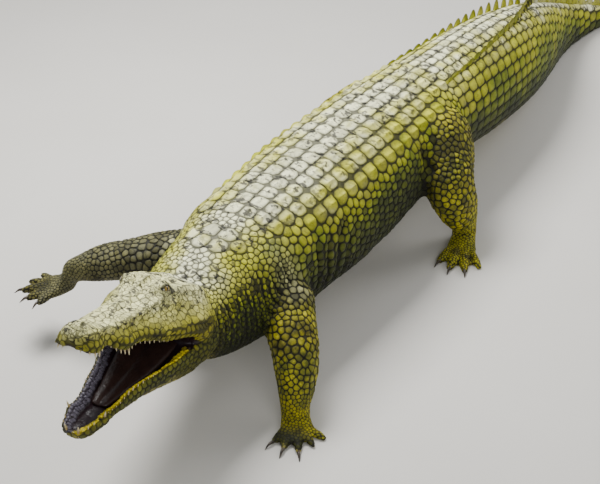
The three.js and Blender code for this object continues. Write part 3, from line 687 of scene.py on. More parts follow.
# Forms of the skull: place, reach and height of each swelling or hollow, on both sides.
SKULL_FORMS = (
    ((178, 50, 146), (36, 15, 14), 5),
    ((226, 37, 118), (32, 11, 16), 6),
    ((182, 0, 131), (40, 22, 18), -7),
    ((112, 80, 124), (58, 9, 13), 5),
    ((40, 86, 122), (58, 10, 14), 5),
    ((84, 38, 130), (26, 18, 12), -4),
    ((-8, 40, 116), (14, 52, 16), 4),
    ((70, 142, 36), (66, 24, 24), 8),
    ((140, 128, 72), (46, 26, 20), -5),
    ((380, 80, 26), (30, 20, 20), 6),
    ((318, 0, 86), (70, 14, 14), 4),
    ((290, 30, 90), (40, 11, 14), -4),
    ((375, 26, 72), (34, 9, 10), 3),
    ((430, 0, 64), (26, 20, 12), -3),
    ((520, 15, 72), (14, 10, 9), 5),
    ((505, 46, 36), (20, 18, 20), 4),
    ((98, 86, 116), (34, 12, 4.2), -5),
    ((100, 88, 127), (38, 12, 7), 3),
    ((522, 15, 76), (10, 6, 18), -12),
    ((350, 70, 38), (9, 20, 22), -5),
    ((112, 143, 16), (46, 20, 10), 6),
    ((66, 146, 27), (60, 34, 8), -13),
    ((58, 148, -4), (40, 26, 17), 14),
    ((0, 146, -2), (9, 30, 34), -8),
    ((50, 146, -36), (44, 30, 8), -6),
    ((262, 72, 52), (60, 12, 12), -4),
)
# Forms of the lower jaw: the fourth tooth's swelling, chin, jaw muscles and throat.
JAW_FORMS = (
    ((460, 62, -6), (18, 14, 20), 5),
    ((505, 0, -40), (40, 34, 16), 3),
    ((18, 142, -58), (64, 30, 46), 15),
    ((-66, 112, -40), (40, 34, 44), 12),
    ((210, 0, -88), (150, 46, 34), -9),
    ((330, 66, -30), (70, 20, 16), 3),
)
# Forms of the limbs, counted from the hips: shoulder, upper arm, elbow and forearm, then
# thigh, knee and calf.
LIMB_FORMS = (
    ((965, 165, 440), (90, 60, 70), 18),
    ((990, 250, 285), (50, 46, 60), 14),
    ((1092, 322, 232), (26, 26, 28), 12),
    ((1150, 352, 190), (36, 34, 44), 8),
    ((965, -150, 440), (90, 60, 70), 14),
    ((1020, -270, 350), (60, 60, 40), 10),
    ((1082, -370, 262), (26, 30, 28), 10),
    ((1140, -440, 306), (44, 44, 30), 7),
    ((60, 205, 440), (110, 60, 80), 22),
    ((205, 235, 380), (46, 60, 90), -10),
    ((-20, 235, 330), (60, 50, 70), 10),
    ((172, 280, 262), (34, 34, 38), 10),
    ((60, 318, 200), (36, 36, 56), 11),
    ((50, -190, 440), (110, 60, 80), 16),
    ((-30, -245, 330), (60, 50, 70), 10),
    ((150, -300, 266), (34, 34, 38), 10),
    ((14, -340, 200), (36, 36, 56), 11),
)


def mirrored(local):
    """Places on either side of the head, all brought to its left."""
    return local * (1, 0, 1) + np.abs(local) * (0, 1, 0)


write_points(mesh, points)
normals = read_normals(mesh)
for pitch, forms in ((SKULL_PITCH, SKULL_FORMS), (JAW_PITCH, JAW_FORMS), (None, LIMB_FORMS)):
    local = (points - shift) * 1000 if pitch is None else mirrored(head_local(pitch, points))
    rise = np.zeros(len(points))
    for centre, radii, height in forms:
        rise += height * np.exp(-(((local - centre) / radii) ** 2).sum(1))
    points = points + normals * (rise / 1000)[:, None]

# Loose hide: ribs round the neck and throat, creases at the joints, sagging flanks.
NECK_FOLD = 27
NECK_DEPTH = 11
FLANK_FOLD = 62
FLANK_DEPTH = 10


def noisy(points, scale):
    """An unevenness over the animal, its waves one metre over the scale apart."""
    return np.array([noise.noise(Vector(point) * scale) for point in points])


def creased(length, spacing):
    """A row of round rolls parted by narrow creases, between minus one and nothing."""
    return -np.abs(np.cos(length * math.pi / spacing)) ** 5


def folds(points):
    """How deep the loose hide is folded, in millimetres, and its slow unevenness."""
    s, share_up, side, outside = body_share(points)
    wander = noisy(points, 5.5)
    low_side = window(share_up, -0.5, 0.66, 0.25)
    neck = window(s, 585, 915, 40) * low_side * window(outside, 0, 1.04, 0.1)
    rise = neck * creased(s + 26 * wander + 0.1 * side, NECK_FOLD) * NECK_DEPTH
    slack = window(s, 1060, 1230, 60) + window(s, 1740, 1900, 60) + 0.35 * window(s, 1290, 1680, 60)
    slack *= window(share_up, 0.02, 0.62, 0.16) * window(outside, 0, 1.06, 0.08)
    slanted = s + 150 * share_up * np.where(s < 1500, -1, 1) + 60 * wander
    rise += slack * creased(slanted, FLANK_FOLD) * FLANK_DEPTH
    which, length, _, _ = limb_local(points)
    on_limb = window(outside, 1.06, 9, 0.1) * window(s, 700, 2400, 80)
    # Hip or shoulder, knee or elbow, wrist: where on a hind and on a front limb, how far
    # apart the creases are, how much they wander and how deep they are.
    for hind, front, spacing, wandering, deep in (
        ((130, 260, 50), (110, 190, 40), 19, 20, 4),
        ((285, 330, 30), (290, 330, 30), 24, 10, 3.5),
        ((455, 480, 16), (405, 425, 14), 14, 6, 2),
    ):
        joint = np.where(which > 1, window(length, *hind), window(length, *front))
        rise += on_limb * joint * creased(length + wandering * wander, spacing) * deep
    return rise, wander


rise, wander = folds(points)
s, share_up, side, outside = body_share(points)
fine = noisy(points, 17)
trunk = window(s, 950, 2100, 120) * window(outside, 0, 1.06, 0.08)
rise += trunk * window(share_up, 0.05, 0.72, 0.2) * (9 * wander + 4 * fine)
cracks = np.abs(noisy(points, 31))
rise += window(s, 0, 560, 60) * (fine * 2.0 - 2.2 * np.exp(-((cracks / 0.045) ** 2)))
# The reach of the feet and of their fine hide, before the folds move the skin.
length = limb_local(points)[1]
on_foot = window(outside, 1.06, 9, 0.1) * window(s, 700, 2400, 80) * window(length, 400, 900, 50)
plain = 1 - np.maximum(window(s, 0, 575, 40), on_foot)
points = points + normals * (rise / 1000)[:, None]
SOLE_LEVEL = 0.0006
floor_level = np.where(outside > 1.2, SOLE_LEVEL, COAT_DEPTH / 1000)
points[:, 2] = np.maximum(points[:, 2], floor_level)
write_points(mesh, points)

# Lids: skin laid close over each eye, parted in a long pointed opening, with a fold above.
EYE_LOOK = {"eye_left": (0.30, 0.88, 0.36), "eye_right": (0.30, -0.88, 0.36)}
LID_SHELL = 21.2
LID_EDGE = 15.5
LID_REACH = (15, 31)
OPENING = (17.5, 8.5, 6.0)
# How far from the eye's middle, how wide and how deep.
BROW_ROLL = (24, 3.5, 1.6)
LID_CREASE = (22.5, 1.5, 1.8)


def eye_local(name, points):
    """Lengths ahead, up and out of an eye's middle, along its own gaze, in millimetres."""
    low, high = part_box(name)
    axes = head_axes(SKULL_PITCH)
    gaze = np.array(EYE_LOOK[name]) @ axes
    gaze /= np.linalg.norm(gaze)
    upward = axes[2] - gaze * (axes[2] @ gaze)
    upward /= np.linalg.norm(upward)
    ahead = axes[0] - gaze * (axes[0] @ gaze)
    ahead /= np.linalg.norm(ahead)
    own = np.array([ahead, upward, gaze])
    return (points - np.array((low + high) / 2)) * 1000 @ own.T, own


def lid_opening(local):
    """How far inside the parting of the lids a place lies, as a share of the opening."""
    tall = np.where(local[:, 1] > 0, OPENING[1], OPENING[2])
    return 1 - (local[:, 0] / OPENING[0]) ** 2 - np.abs(local[:, 1]) / tall


for name in EYE_LOOK:
    local, own = eye_local(name, points)
    spread = np.hypot(local[:, 0], local[:, 1])
    facing = local[:, 2] > -2
    near = np.clip((LID_REACH[1] - spread) / (LID_REACH[1] - LID_REACH[0]), 0, 1)
    near = near * near * (3 - 2 * near) * facing
    shell = np.sqrt(np.maximum(LID_SHELL**2 - spread**2, 60))
    middle, wide, high = BROW_ROLL
    shell += high * np.exp(-(((spread - middle) / wide) ** 2)) * (local[:, 1] > 0)
    wish = local[:, 2] + (shell - local[:, 2]) * near
    wish = np.where(facing & (spread < OPENING[0] - 0.5), np.maximum(wish, shell), wish)
    inner = np.sqrt(np.maximum(LID_EDGE**2 - spread**2, 1))
    parted = np.clip((lid_opening(local) + 0.26) / 0.42, 0, 1)
    parted = parted * parted * (3 - 2 * parted) * facing
    wish += (inner - wish) * parted
    middle, wide, deep = LID_CREASE
    crease = deep * np.exp(-(((spread - middle - 0.12 * local[:, 0]) / wide) ** 2)) * (local[:, 1] > -4)
    wish -= crease * facing
    points = points + (wish - local[:, 2])[:, None] * own[2] / 1000

write_points(mesh, points)
# The hide is kept finest on the head and feet.
SKIN_FACES = 186000
STEPS = 10
group = skin.vertex_groups.new(name="plain")
for step in range(1, STEPS + 1):
    chosen = np.nonzero(np.ceil(plain * STEPS) == step)[0]
    if len(chosen):
        group.add(chosen.tolist(), step / STEPS, "REPLACE")
apply_modifier(
    skin,
    "DECIMATE",
    decimate_type="COLLAPSE",
    ratio=SKIN_FACES / (2 * len(mesh.polygons)),
    vertex_group="plain",
    use_collapse_triangulate=True,
)
skin.vertex_groups.clear()
skin.data.shade_smooth()
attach(skin, "root")
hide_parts(*FLESH)

# What the hide's colours follow: how high on the back, whether on a limb or the head, and
# the lining of the mouth with its gums.
mesh = skin.data
points = read_points(mesh)
normals = read_normals(mesh)
s, share_up, side, outside = body_share(points)
which, length, _, limb_way = limb_local(points)
on_limb = window(outside, 1.12, 9, 0.14) * window(s, 700, 2400, 80)
on_head = window(s, -50, 560, 60)
skull_place = head_local(SKULL_PITCH, points)
jaw_place = head_local(JAW_PITCH, points)
gape_place = head_local(GAPE_PITCH, points)
skull_half = along(SKULL, 1, skull_place[:, 0])
jaw_half = along(JAW, 1, jaw_place[:, 0])
faces_up = normals @ head_axes(SKULL_PITCH)[2]
inside_skull = window(skull_place[:, 0], 60, 545, 12) * window(-faces_up, 0.25, 2, 0.25)
inside_skull *= window(skull_half - np.abs(skull_place[:, 1]), 9, 999, 5) * (gape_place[:, 2] > 0)
inside_skull *= window(skull_place[:, 2], -99, 22, 8)
inside_jaw = window(jaw_place[:, 0], 50, 540, 12)
inside_jaw *= window(jaw_place[:, 2], -8 - along(JAW, 4, jaw_place[:, 0]), 99, 4)
inside_jaw *= window(jaw_half - np.abs(jaw_place[:, 1]), 9, 999, 5) * (gape_place[:, 2] <= 0)
corner_half = along(CHEEKS, 1, gape_place[:, 0])
faces_ahead = normals @ head_axes(GAPE_PITCH)[0]
inside_corner = window(gape_place[:, 0], 40, 160, 10) * window(np.abs(gape_place[:, 2]), 0, 36, 8)
inside_corner *= window(corner_half - np.abs(gape_place[:, 1]), 6, 999, 5)
inside_corner *= window(faces_ahead, 0.15, 2, 0.2)
mouth = np.maximum(np.maximum(inside_skull, inside_jaw), inside_corner)
rim_in = window(jaw_half - np.abs(jaw_place[:, 1]), 4, 30, 4) * inside_jaw
rim_in *= window(jaw_place[:, 2], along(JAW, 3, jaw_place[:, 0]) - 22, 99, 5)
rim_in *= window(jaw_place[:, 0], 122, 600, 20)
upright = np.where(share_up > WIDEST, (share_up - WIDEST) / (1 - WIDEST), share_up / WIDEST - 1)
back = np.arctan2(upright, np.abs(side) / along(BODY, 3, s)) / math.pi + 0.5
skull_up = np.clip(skull_place[:, 2] / along(SKULL, 3, skull_place[:, 0]), 0, 1)
jaw_down = np.clip(-jaw_place[:, 2] / along(JAW, 2, jaw_place[:, 0]), 0, 1)
head_back = np.where(gape_place[:, 2] > 0, 0.47 + 0.53 * skull_up, 0.44 - 0.42 * jaw_down)
back += (head_back - back) * on_head
folded = mirrored(skull_place)
# Hollows of the head that lie dark: place, reach and depth of shade.
SHADED = (
    ((180, 78, 128), (34, 20, 17), 0.8),
    ((98, 86, 117), (40, 12, 6), 0.9),
    ((522, 15, 72), (10, 6, 16), 1.0),
    ((535, 20, 40), (24, 40, 30), 0.4),
    ((66, 144, 28), (72, 44, 9), 1.0),
    ((-2, 144, 0), (10, 34, 34), 0.8),
)
shaded = np.clip(-folds(points)[0] / 4, 0, 1)
under_neck = window(s, 590, 900, 40) * window(back, -1, 0.5, 0.14) * window(outside, 0, 1.1, 0.1)
shaded = np.maximum(shaded, under_neck * 0.35)
for centre, radii, depth in SHADED:
    shaded = np.maximum(shaded, depth * np.exp(-(((folded - centre) / radii) ** 2).sum(1)))
for name in EYE_LOOK:
    local = eye_local(name, points)[0]
    lid_rim = np.exp(-(((lid_opening(local) + 0.3) / 0.38) ** 2))
    lid_rim *= (local[:, 2] > 2) * (np.abs(local[:, 0]) < 30)
    shaded = np.maximum(shaded, 0.95 * lid_rim)
armpit = window(outside, 1.0, 1.3, 0.08) * window(s, 850, 2200, 60) * window(share_up, -1, 0.5, 0.2)
shaded = np.maximum(shaded, armpit * 0.5)
# A painted highlight: a pale cream patch on the shoulder, where the light falls brightest.
painted_shoulder_highlight = np.exp(-(((s - 918) / 46) ** 2) - ((share_up - 0.5) / 0.32) ** 2)
painted_shoulder_highlight *= window(outside, 0, 1.2, 0.1)
HIDE_MAPS = {
    "back": np.clip(back, 0, 1),
    "limb": on_limb,
    "head": on_head,
    "mouth": mouth,
    "gum": rim_in * (jaw_place[:, 1] > 0),
    # painted shade: the far gum is coloured mauve-grey
    "far_gum": rim_in * (jaw_place[:, 1] <= 0),
    "shaded": shaded,
    "pale": painted_shoulder_highlight,
    # painted shade: the far right foreleg is coloured grey-brown
    "drab": on_limb * (which == 1),
}


def write_map(mesh, name, values):
    layer = mesh.attributes.new(name, "FLOAT", "POINT")
    layer.data.foreach_set("value", np.asarray(values, np.float32))


for name, values in HIDE_MAPS.items():
    write_map(mesh, name, values)
write_map(mesh, "edge", np.ones(len(points)))
write_map(mesh, "tone", np.full(len(points), 0.5))

# Living hide, dry and matt, moist in the mouth: cream over the back, yellow and olive on
# the flanks, dark green low down, pale under the belly, each scale rimmed with dark. The
# near-white top of the back is partly painted highlight, the near-black green low on the
# sides partly painted shade.
FLANK_COLOURS = (
    (0.0, "CFC78C"),
    (0.10, "A8A05A"),
    (0.19, "3E3E18"),
    (0.32, "22290A"),
    (0.44, "434D08"),
    (0.56, "7E890E"),
    (0.68, "A8A918"),
    (0.78, "C2C040"),
    (0.87, "DEDC8C"),
    (0.95, "F0EFC4"),
)
HEAD_COLOURS = (
    (0.0, "B9B070"),
    (0.2, "50521C"),
    (0.38, "565912"),
    (0.5, "8F8A1A"),
    (0.64, "96922C"),
    (0.8, "C2BE6A"),
    (0.95, "ECE9A8"),
)
LIMB_COLOURS = ((0.28, "2E310C"), (0.42, "666814"), (0.56, "A49E1C"), (0.74, "D0C42E"))
OUTLINE = "12110A"
SHADE = "1A190B"
# Painted highlight on the shoulder.
SHOULDER_HIGHLIGHT = "DAD7A0"
# Painted shade over the far right foreleg.
FAR_ARM_SHADE = "5C5A4C"
PATCH_DARK = "2B2C14"
PATCH_YELLOW = "B3AC2E"
DASHES = "29252F"
# The mouth's lining is painted near-black: painted shade, as it lies deep in the mouth.
MOUTH_DARK = "120B0C"
MOUTH_LIGHT = "2A1B20"
GUM_YELLOW = "E8D320"
# The far gum is the same yellow gum in painted shade, mauve-grey.
FAR_GUM_SHADE = "544F59"
# Clouds in the hide: waves in a metre, detail, roughness, and stretch along the axes.
CLOUDS = {
    "broad": (4.5, 3.0, 0.55, (1, 1, 1)),
    "patchy": (11.0, 4.0, 0.55, (1, 1, 1)),
    "grainy": (60.0, 4.0, 0.55, (1, 1, 1)),
    "flecked": (55.0, 3.0, 0.62, (1, 0.5, 1)),
    "lined": (19.0, 1.6, 0.5, (1, 1, 1.6)),
    "pores": (420.0, 2.0, 0.55, (1, 1, 1)),
}
# Layers of colour from the deepest up: colour, how it is laid on, and what it follows. Each
# map or cloud is spread from one range to another, and what comes out is multiplied.
LAYERS = (
    (FAR_ARM_SHADE, "MIX", (("drab", 0, 1, 0, 0.8),)),
    (SHOULDER_HIGHLIGHT, "MIX", (("pale", 0, 1, 0, 0.8),)),
    # Dark patches, denser low on the sides: the hide's own blotches, and partly painted shade.
    (PATCH_DARK, "MIX", (("patchy", 0.54, 0.66, 0, 1), ("back", 0.85, 0.5, 0.08, 0.82))),
    (PATCH_YELLOW, "OVERLAY", (("broad", 0.5, 0.62, 0, 1), ("back", 0.72, 0.5, 0, 0.55))),
    (DASHES, "MIX", (("flecked", 0.54, 0.59, 0, 1), ("back", 0.7, 0.85, 0, 0.85))),
    (OUTLINE, "MIX", (
        ("lined", 0.484, 0.496, 0, 1),
        ("lined", 0.504, 0.516, 1, 0),
        ("head", 0, 1, 0.3, 0.75),
    )),
    ("brightness", "MULTIPLY", ()),
    (SHADE, "MIX", (("shaded", 0, 1, 0, 0.85),)),
    (OUTLINE, "MIX", (("rim", 0, 1, 0, 1), ("back", 0.6, 0.95, 0.95, 0.84), ("head", 0, 1, 1, 0.85))),
    ("lining", "MIX", (("mouth", 0, 1, 0, 1),)),
    (GUM_YELLOW, "MIX", (("gum", 0, 1, 0, 1), ("grainy", 0.3, 0.42, 0, 1), ("edge", 0.4, 1, 1, 0.45))),
    (FAR_GUM_SHADE, "MIX", (("far_gum", 0, 1, 0, 1), ("grainy", 0.3, 0.42, 0, 1), ("edge", 0.4, 1, 1, 0.45))),
)
# Fine wrinkles in the hide, 5 mm apart, coarser than real ones so that they show.
WRINKLES = 210.0


def combined(tree, signals, operation, *terms):
    """Maps and clouds spread from one range to another, then added up or multiplied."""
    total = None
    for name, *spans in terms:
        spread = add_node(tree, "MapRange", dict(enumerate((signals[name], *spans))))
        if total is None:
            total = spread
        else:
            total = add_node(tree, "Math", {0: total, 1: spread}, operation=operation)
    return total


hide, tree = new_material("dry_scaled_hide")
place = add_node(tree, "TexCoord", {}).outputs["Object"]
signals = {}
for name in (*HIDE_MAPS, "edge", "tone"):
    signals[name] = add_node(tree, "Attribute", {}, attribute_name=name).outputs["Fac"]
for name, (scale, detail, roughness, stretch) in CLOUDS.items():
    stretched = add_node(tree, "Mapping", {"Vector": place, "Scale": stretch})
    look = {"Vector": stretched, "Scale": scale, "Detail": detail, "Roughness": roughness}
    signals[name] = add_node(tree, "TexNoise", look)
signals["brightness"] = combined(
    tree, signals, "MULTIPLY", ("tone", 0, 1, 0.8, 1.16), ("grainy", 0.3, 0.7, 0.82, 1.12)
)
signals["rim"] = add_node(tree, "Math", {0: signals["edge"], 1: 1.6}, operation="POWER")
# The lining's near-black colour is painted shade.
mouth_shade_tones = {0: signals["grainy"], 6: linear(MOUTH_DARK), 7: linear(MOUTH_LIGHT)}
signals["lining"] = add_node(tree, "Mix", mouth_shade_tones, data_type="RGBA")
# The bands of colour wander up and down the side, and those of the limbs break up.
banded = combined(
    tree,
    signals,
    "ADD",
    ("back", 0, 1, 0, 1),
    ("broad", 0.3, 0.7, -0.08, 0.08),
    ("patchy", 0.3, 0.7, -0.1, 0.1),
)
broken = combined(tree, signals, "ADD", ("grainy", 0, 1, 0, 0.35), ("patchy", 0, 1, 0, 0.75))
colour = add_node(tree, "ValToRGB", {"Fac": banded}, FLANK_COLOURS)
for name, bands, stops in (("head", banded, HEAD_COLOURS), ("limb", broken, LIMB_COLOURS)):
    own = add_node(tree, "ValToRGB", {"Fac": bands}, stops)
    colour = add_node(tree, "Mix", {0: signals[name], 6: colour, 7: own}, data_type="RGBA")
for paint, how, terms in LAYERS:
    shades = {
        0: combined(tree, signals, "MULTIPLY", *terms) if terms else 1.0,
        6: colour,
        7: signals[paint] if paint in signals else linear(paint),
    }
    colour = add_node(tree, "Mix", shades, data_type="RGBA", blend_type=how)
signals["wrinkled"] = add_node(
    tree, "TexVoronoi", {"Vector": place, "Scale": WRINKLES}, feature="DISTANCE_TO_EDGE"
)
signals["relief"] = combined(tree, signals, "ADD", ("wrinkled", 0, 0.12, 0, 0.5), ("pores", 0, 1, 0, 1))
height = combined(tree, signals, "MULTIPLY", ("relief", 0, 2, 0, 2), ("mouth", 0, 1, 1, 0.25))
bump = add_node(tree, "Bump", {"Height": height, "Strength": 0.45, "Distance": 0.0012})
look = {
    "Base Color": colour,
    "Roughness": combined(tree, signals, "MULTIPLY", ("mouth", 0, 1, 0.62, 0.3)),
    "IOR": 1.5,
    "Specular IOR Level": 0.25,
    "Normal": bump,
}
add_node(tree, "OutputMaterial", {"Surface": add_node(tree, "BsdfPrincipled", look)})
mesh.materials.append(hide)

# ---- Eyes -------------------------------------------------------------------------------
# Wet round eyes with a golden green iris and an upright slit pupil. Each is a ball set in
# its socket, with a clear film over it; the lids belong to the skin and its scales.
IRIS_COLOURS = ((0.0, "8A7228"), (0.55, "8A7228"), (0.88, "3E3C16"), (1.0, "1E1A0E"))
PUPIL = "050504"
SLIT = (0.0021, 0.011)
IRIS = (0.0131, 0.0131)
FLATTENED = 1000
BALL_RADIUS = 0.0182225

for node_name in EYE_LOOK:
    low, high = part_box(node_name)
    centre = (low + high) / 2
    bpy.ops.mesh.primitive_uv_sphere_add(segments=48, ring_count=32, radius=BALL_RADIUS, location=centre)
    eye = bpy.context.object
    eye.name = "ball_of_" + node_name
    bpy.ops.object.transform_apply(location=True, rotation=False, scale=False)
    bpy.ops.object.shade_smooth()
    # A wet cornea: smooth and clear over streaks of gold and green. The slit and the iris
    # are drawn across the gaze, with everything along it flattened away.
    wet, tree = new_material("wet_" + node_name)
    place = add_node(tree, "TexCoord", {}).outputs["Object"]
    onward, _, gaze = eye_local(node_name, points)[1]
    turned = Matrix((onward, np.cross(gaze, onward), gaze)).transposed().to_euler()
    streaks = {"Vector": place, "Scale": 900.0, "Detail": 3.0, "Roughness": 0.55}
    signals = {"streaked": add_node(tree, "TexNoise", streaks)}
    for name, (wide, tall) in (("slit", SLIT), ("iris", IRIS)):
        axes = {"Vector": place, "Location": centre, "Rotation": turned, "Scale": (wide, tall, FLATTENED)}
        across = add_node(tree, "Mapping", axes, vector_type="TEXTURE")
        signals[name] = add_node(tree, "VectorMath", {0: across}, operation="LENGTH")
    ringed = combined(tree, signals, "ADD", ("streaked", 0.3, 0.7, -0.12, 0.12), ("iris", 0, 2, 0, 2))
    iris = add_node(tree, "ValToRGB", {"Fac": ringed}, IRIS_COLOURS)
    pupil = combined(tree, signals, "MULTIPLY", ("slit", 0.92, 1.05, 1, 0))
    colour = add_node(tree, "Mix", {0: pupil, 6: iris, 7: linear(PUPIL)}, data_type="RGBA")
    look = {"Base Color": colour, "Roughness": 0.12, "IOR": 1.38, "Coat Weight": 1.0, "Coat Roughness": 0.02}
    add_node(tree, "OutputMaterial", {"Surface": add_node(tree, "BsdfPrincipled", look)})
    eye.data.materials.append(wet)
    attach(eye, "root")
    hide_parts(node_name)

# ---- Teeth ------------------------------------------------------------------------------
# Stout cones of ivory that stand in the jaws' rims, 19 above and 15 below on each side,
# bowed inwards, browner at the gum. One is modelled and copied for every socket.
# Ahead of the jaw joint and length outside the gum, in millimetres.
UPPER_TEETH = (
    (540, 11), (528, 14), (512, 20), (494, 22), (475, 12), (436, 10), (421, 14),
    (406, 18), (390, 21), (372, 27), (352, 16), (334, 12), (316, 13), (298, 16),
    (280, 17), (262, 14), (244, 12), (227, 10), (211, 8),
)
LOWER_TEETH = (
    (534, 23), (517, 12), (498, 14), (460, 30), (440, 11), (422, 10), (405, 10), (388, 11),
    (371, 13), (353, 19), (334, 18), (314, 15), (294, 13), (275, 11), (256, 9),
)
TOOTH_ROOT = 7
TOOTH_INSET = 7
TOOTH_GROWTH = 1.5
# Half width of the shortest tooth, and what its length adds to its width and to its bow.
TOOTH_WIDTH = 3.0
TOOTH_STOUTNESS = 0.17
TOOTH_BOW = 0.16
IVORY_COLOURS = ((0.25, "8F7A45"), (0.55, "CDBF94"), (0.85, "E4DCC0"))
bpy.ops.mesh.primitive_cone_add(vertices=12, radius1=1, radius2=0.06, depth=1, location=(0, 0, 0.5))
bpy.ops.object.mode_set(mode="EDIT")
for cut in (0.25, 0.45, 0.65, 0.85):
    bpy.ops.mesh.select_all(action="SELECT")
    bpy.ops.mesh.bisect(plane_co=(0, 0, cut), plane_no=(0, 0, 1))
bpy.ops.object.mode_set(mode="OBJECT")
pattern = bpy.context.object
tooth_points = read_points(pattern.data)
tooth_faces = [tuple(face.vertices) for face in pattern.data.polygons]
bpy.data.objects.remove(pattern)
rise_share = tooth_points[:, 2:3]
tooth_points[:, :2] *= 1 + 0.55 * rise_share * (1 - rise_share)
ivory, tree = new_material("worn_ivory")
place = add_node(tree, "TexCoord", {}).outputs["Object"]
cloud = add_node(tree, "TexNoise", {"Vector": place, "Scale": 160.0, "Detail": 3.0, "Roughness": 0.55})
crown = add_node(tree, "Attribute", {}, attribute_name="crown").outputs["Fac"]
stained = add_node(tree, "Math", {0: cloud, 1: 0.35, 2: crown}, operation="MULTIPLY_ADD")
colour = add_node(tree, "ValToRGB", {"Fac": stained}, IVORY_COLOURS)
look = {"Base Color": colour, "Roughness": 0.3, "IOR": 1.54}
add_node(tree, "OutputMaterial", {"Surface": add_node(tree, "BsdfPrincipled", look)})
for name, pitch, stations, sign, column, teeth in (
    ("upper_teeth", SKULL_PITCH, SKULL, -1, 4, UPPER_TEETH),
    ("lower_teeth", JAW_PITCH, JAW, 1, 3, LOWER_TEETH),
):
    all_points = []
    all_faces = []
    for ahead, long in teeth:
        nearest_end = stations[-1][0] + 3 - ahead
        turned = min(1.0, nearest_end / 22)
        out = (float(along(stations, 1, ahead)) - TOOTH_INSET) * math.sqrt(turned)
        long *= TOOTH_GROWTH
        root = float(along(stations, column, ahead)) - sign * TOOTH_ROOT
        wide = TOOTH_WIDTH + long * TOOTH_STOUTNESS
        bow = long * TOOTH_BOW
        for hand in (1, -1):
            rise = tooth_points[:, 2] * (long + TOOTH_ROOT)
            lean = bow * np.sin(tooth_points[:, 2] * math.pi * 0.75) * 1.2
            u = ahead + tooth_points[:, 0] * wide + (1 - turned) * lean
            v = out + tooth_points[:, 1] * wide * 0.85 + turned * lean
            start = len(all_points)
            all_points.extend(head_point(pitch, u, hand * v, root + sign * rise))
            flip = hand * sign < 0
            all_faces.extend(
                tuple(start + k for k in (reversed(face) if flip else face)) for face in tooth_faces
            )
    jaw_teeth = new_piece(name, all_points, all_faces)
    write_map(jaw_teeth.data, "crown", np.tile(tooth_points[:, 2], 2 * len(teeth)))
    jaw_teeth.data.shade_smooth()
    jaw_teeth.data.materials.append(ivory)
    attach(jaw_teeth, "root")

# ---- Tongue -----------------------------------------------------------------------------
# A broad flat tongue, grown to the bed of the lower jaw along its whole length: moist,
# pebbled flesh with a shallow furrow down its middle.
# Painted shade: the tongue is coloured near-black.
TONGUE_BASE = "1C1312"
TONGUE_LIGHT = "3D2A24"
tongue = solid_copy("tongue", "tongue_flesh")
apply_modifier(tongue, "REMESH", mode="VOXEL", voxel_size=0.004)
flesh_points = relaxed(tongue.data, read_points(tongue.data), np.full(len(tongue.data.vertices), 0.5), 12)
local = head_local(JAW_PITCH, flesh_points)
sunk = 3.5 * np.exp(-((local[:, 1] / 9) ** 2)) + 1.2 * noisy(flesh_points, 140)
flesh_points[:, 2] -= sunk / 1000
write_points(tongue.data, flesh_points)
tongue.data.shade_smooth()
# Moist flesh, softly glossy, with a fine pebble of papillae 4 mm apart. Its near-black
# colour is painted shade, as it lies deep in the mouth.
flesh, tree = new_material("moist_flesh")
place = add_node(tree, "TexCoord", {}).outputs["Object"]
cells = add_node(tree, "TexVoronoi", {"Vector": place, "Scale": 260.0})
cloud = add_node(tree, "TexNoise", {"Vector": place, "Scale": 30.0, "Detail": 3.0, "Roughness": 0.55})
shades = {0: cloud, 6: linear(TONGUE_BASE), 7: linear(TONGUE_LIGHT)}
colour = add_node(tree, "Mix", shades, data_type="RGBA")
bump = add_node(tree, "Bump", {"Height": cells, "Strength": 0.4, "Distance": 0.001})
look = {"Base Color": colour, "Roughness": 0.35, "IOR": 1.4, "Normal": bump}
add_node(tree, "OutputMaterial", {"Surface": add_node(tree, "BsdfPrincipled", look)})
tongue.data.materials.append(flesh)
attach(tongue, "root")
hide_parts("tongue")

# ---- Claws ------------------------------------------------------------------------------
# Blunt claws of dark horn on the three inner toes of each foot: each a smooth cone, arched
# over the toe's end, grooved along its length and paler where it is rubbed.
HORN_DARK = "17130F"
HORN_PALE = "5B4C38"
CLAW_ARCH = 0.0045
CLAW_ROOT = 0.012
horn, tree = new_material("dark_claw_horn")
place = add_node(tree, "TexCoord", {}).outputs["Object"]
signals = {}
for name, scale, detail, stretch in (("rubbed", 70.0, 4.0, 5), ("grooved", 240.0, 2.0, 4)):
    stretched = add_node(tree, "Mapping", {"Vector": place, "Scale": (1, 1, stretch)})
    look = {"Vector": stretched, "Scale": scale, "Detail": detail, "Roughness": 0.55}
    signals[name] = add_node(tree, "TexNoise", look)
rubbed = combined(tree, signals, "MULTIPLY", ("rubbed", 0.4, 0.75, 0, 1))
colour = add_node(tree, "Mix", {0: rubbed, 6: linear(HORN_DARK), 7: linear(HORN_PALE)}, data_type="RGBA")
bump = add_node(tree, "Bump", {"Height": signals["grooved"], "Strength": 0.3, "Distance": 0.0008})
look = {"Base Color": colour, "Roughness": 0.38, "IOR": 1.54, "Normal": bump}
add_node(tree, "OutputMaterial", {"Surface": add_node(tree, "BsdfPrincipled", look)})
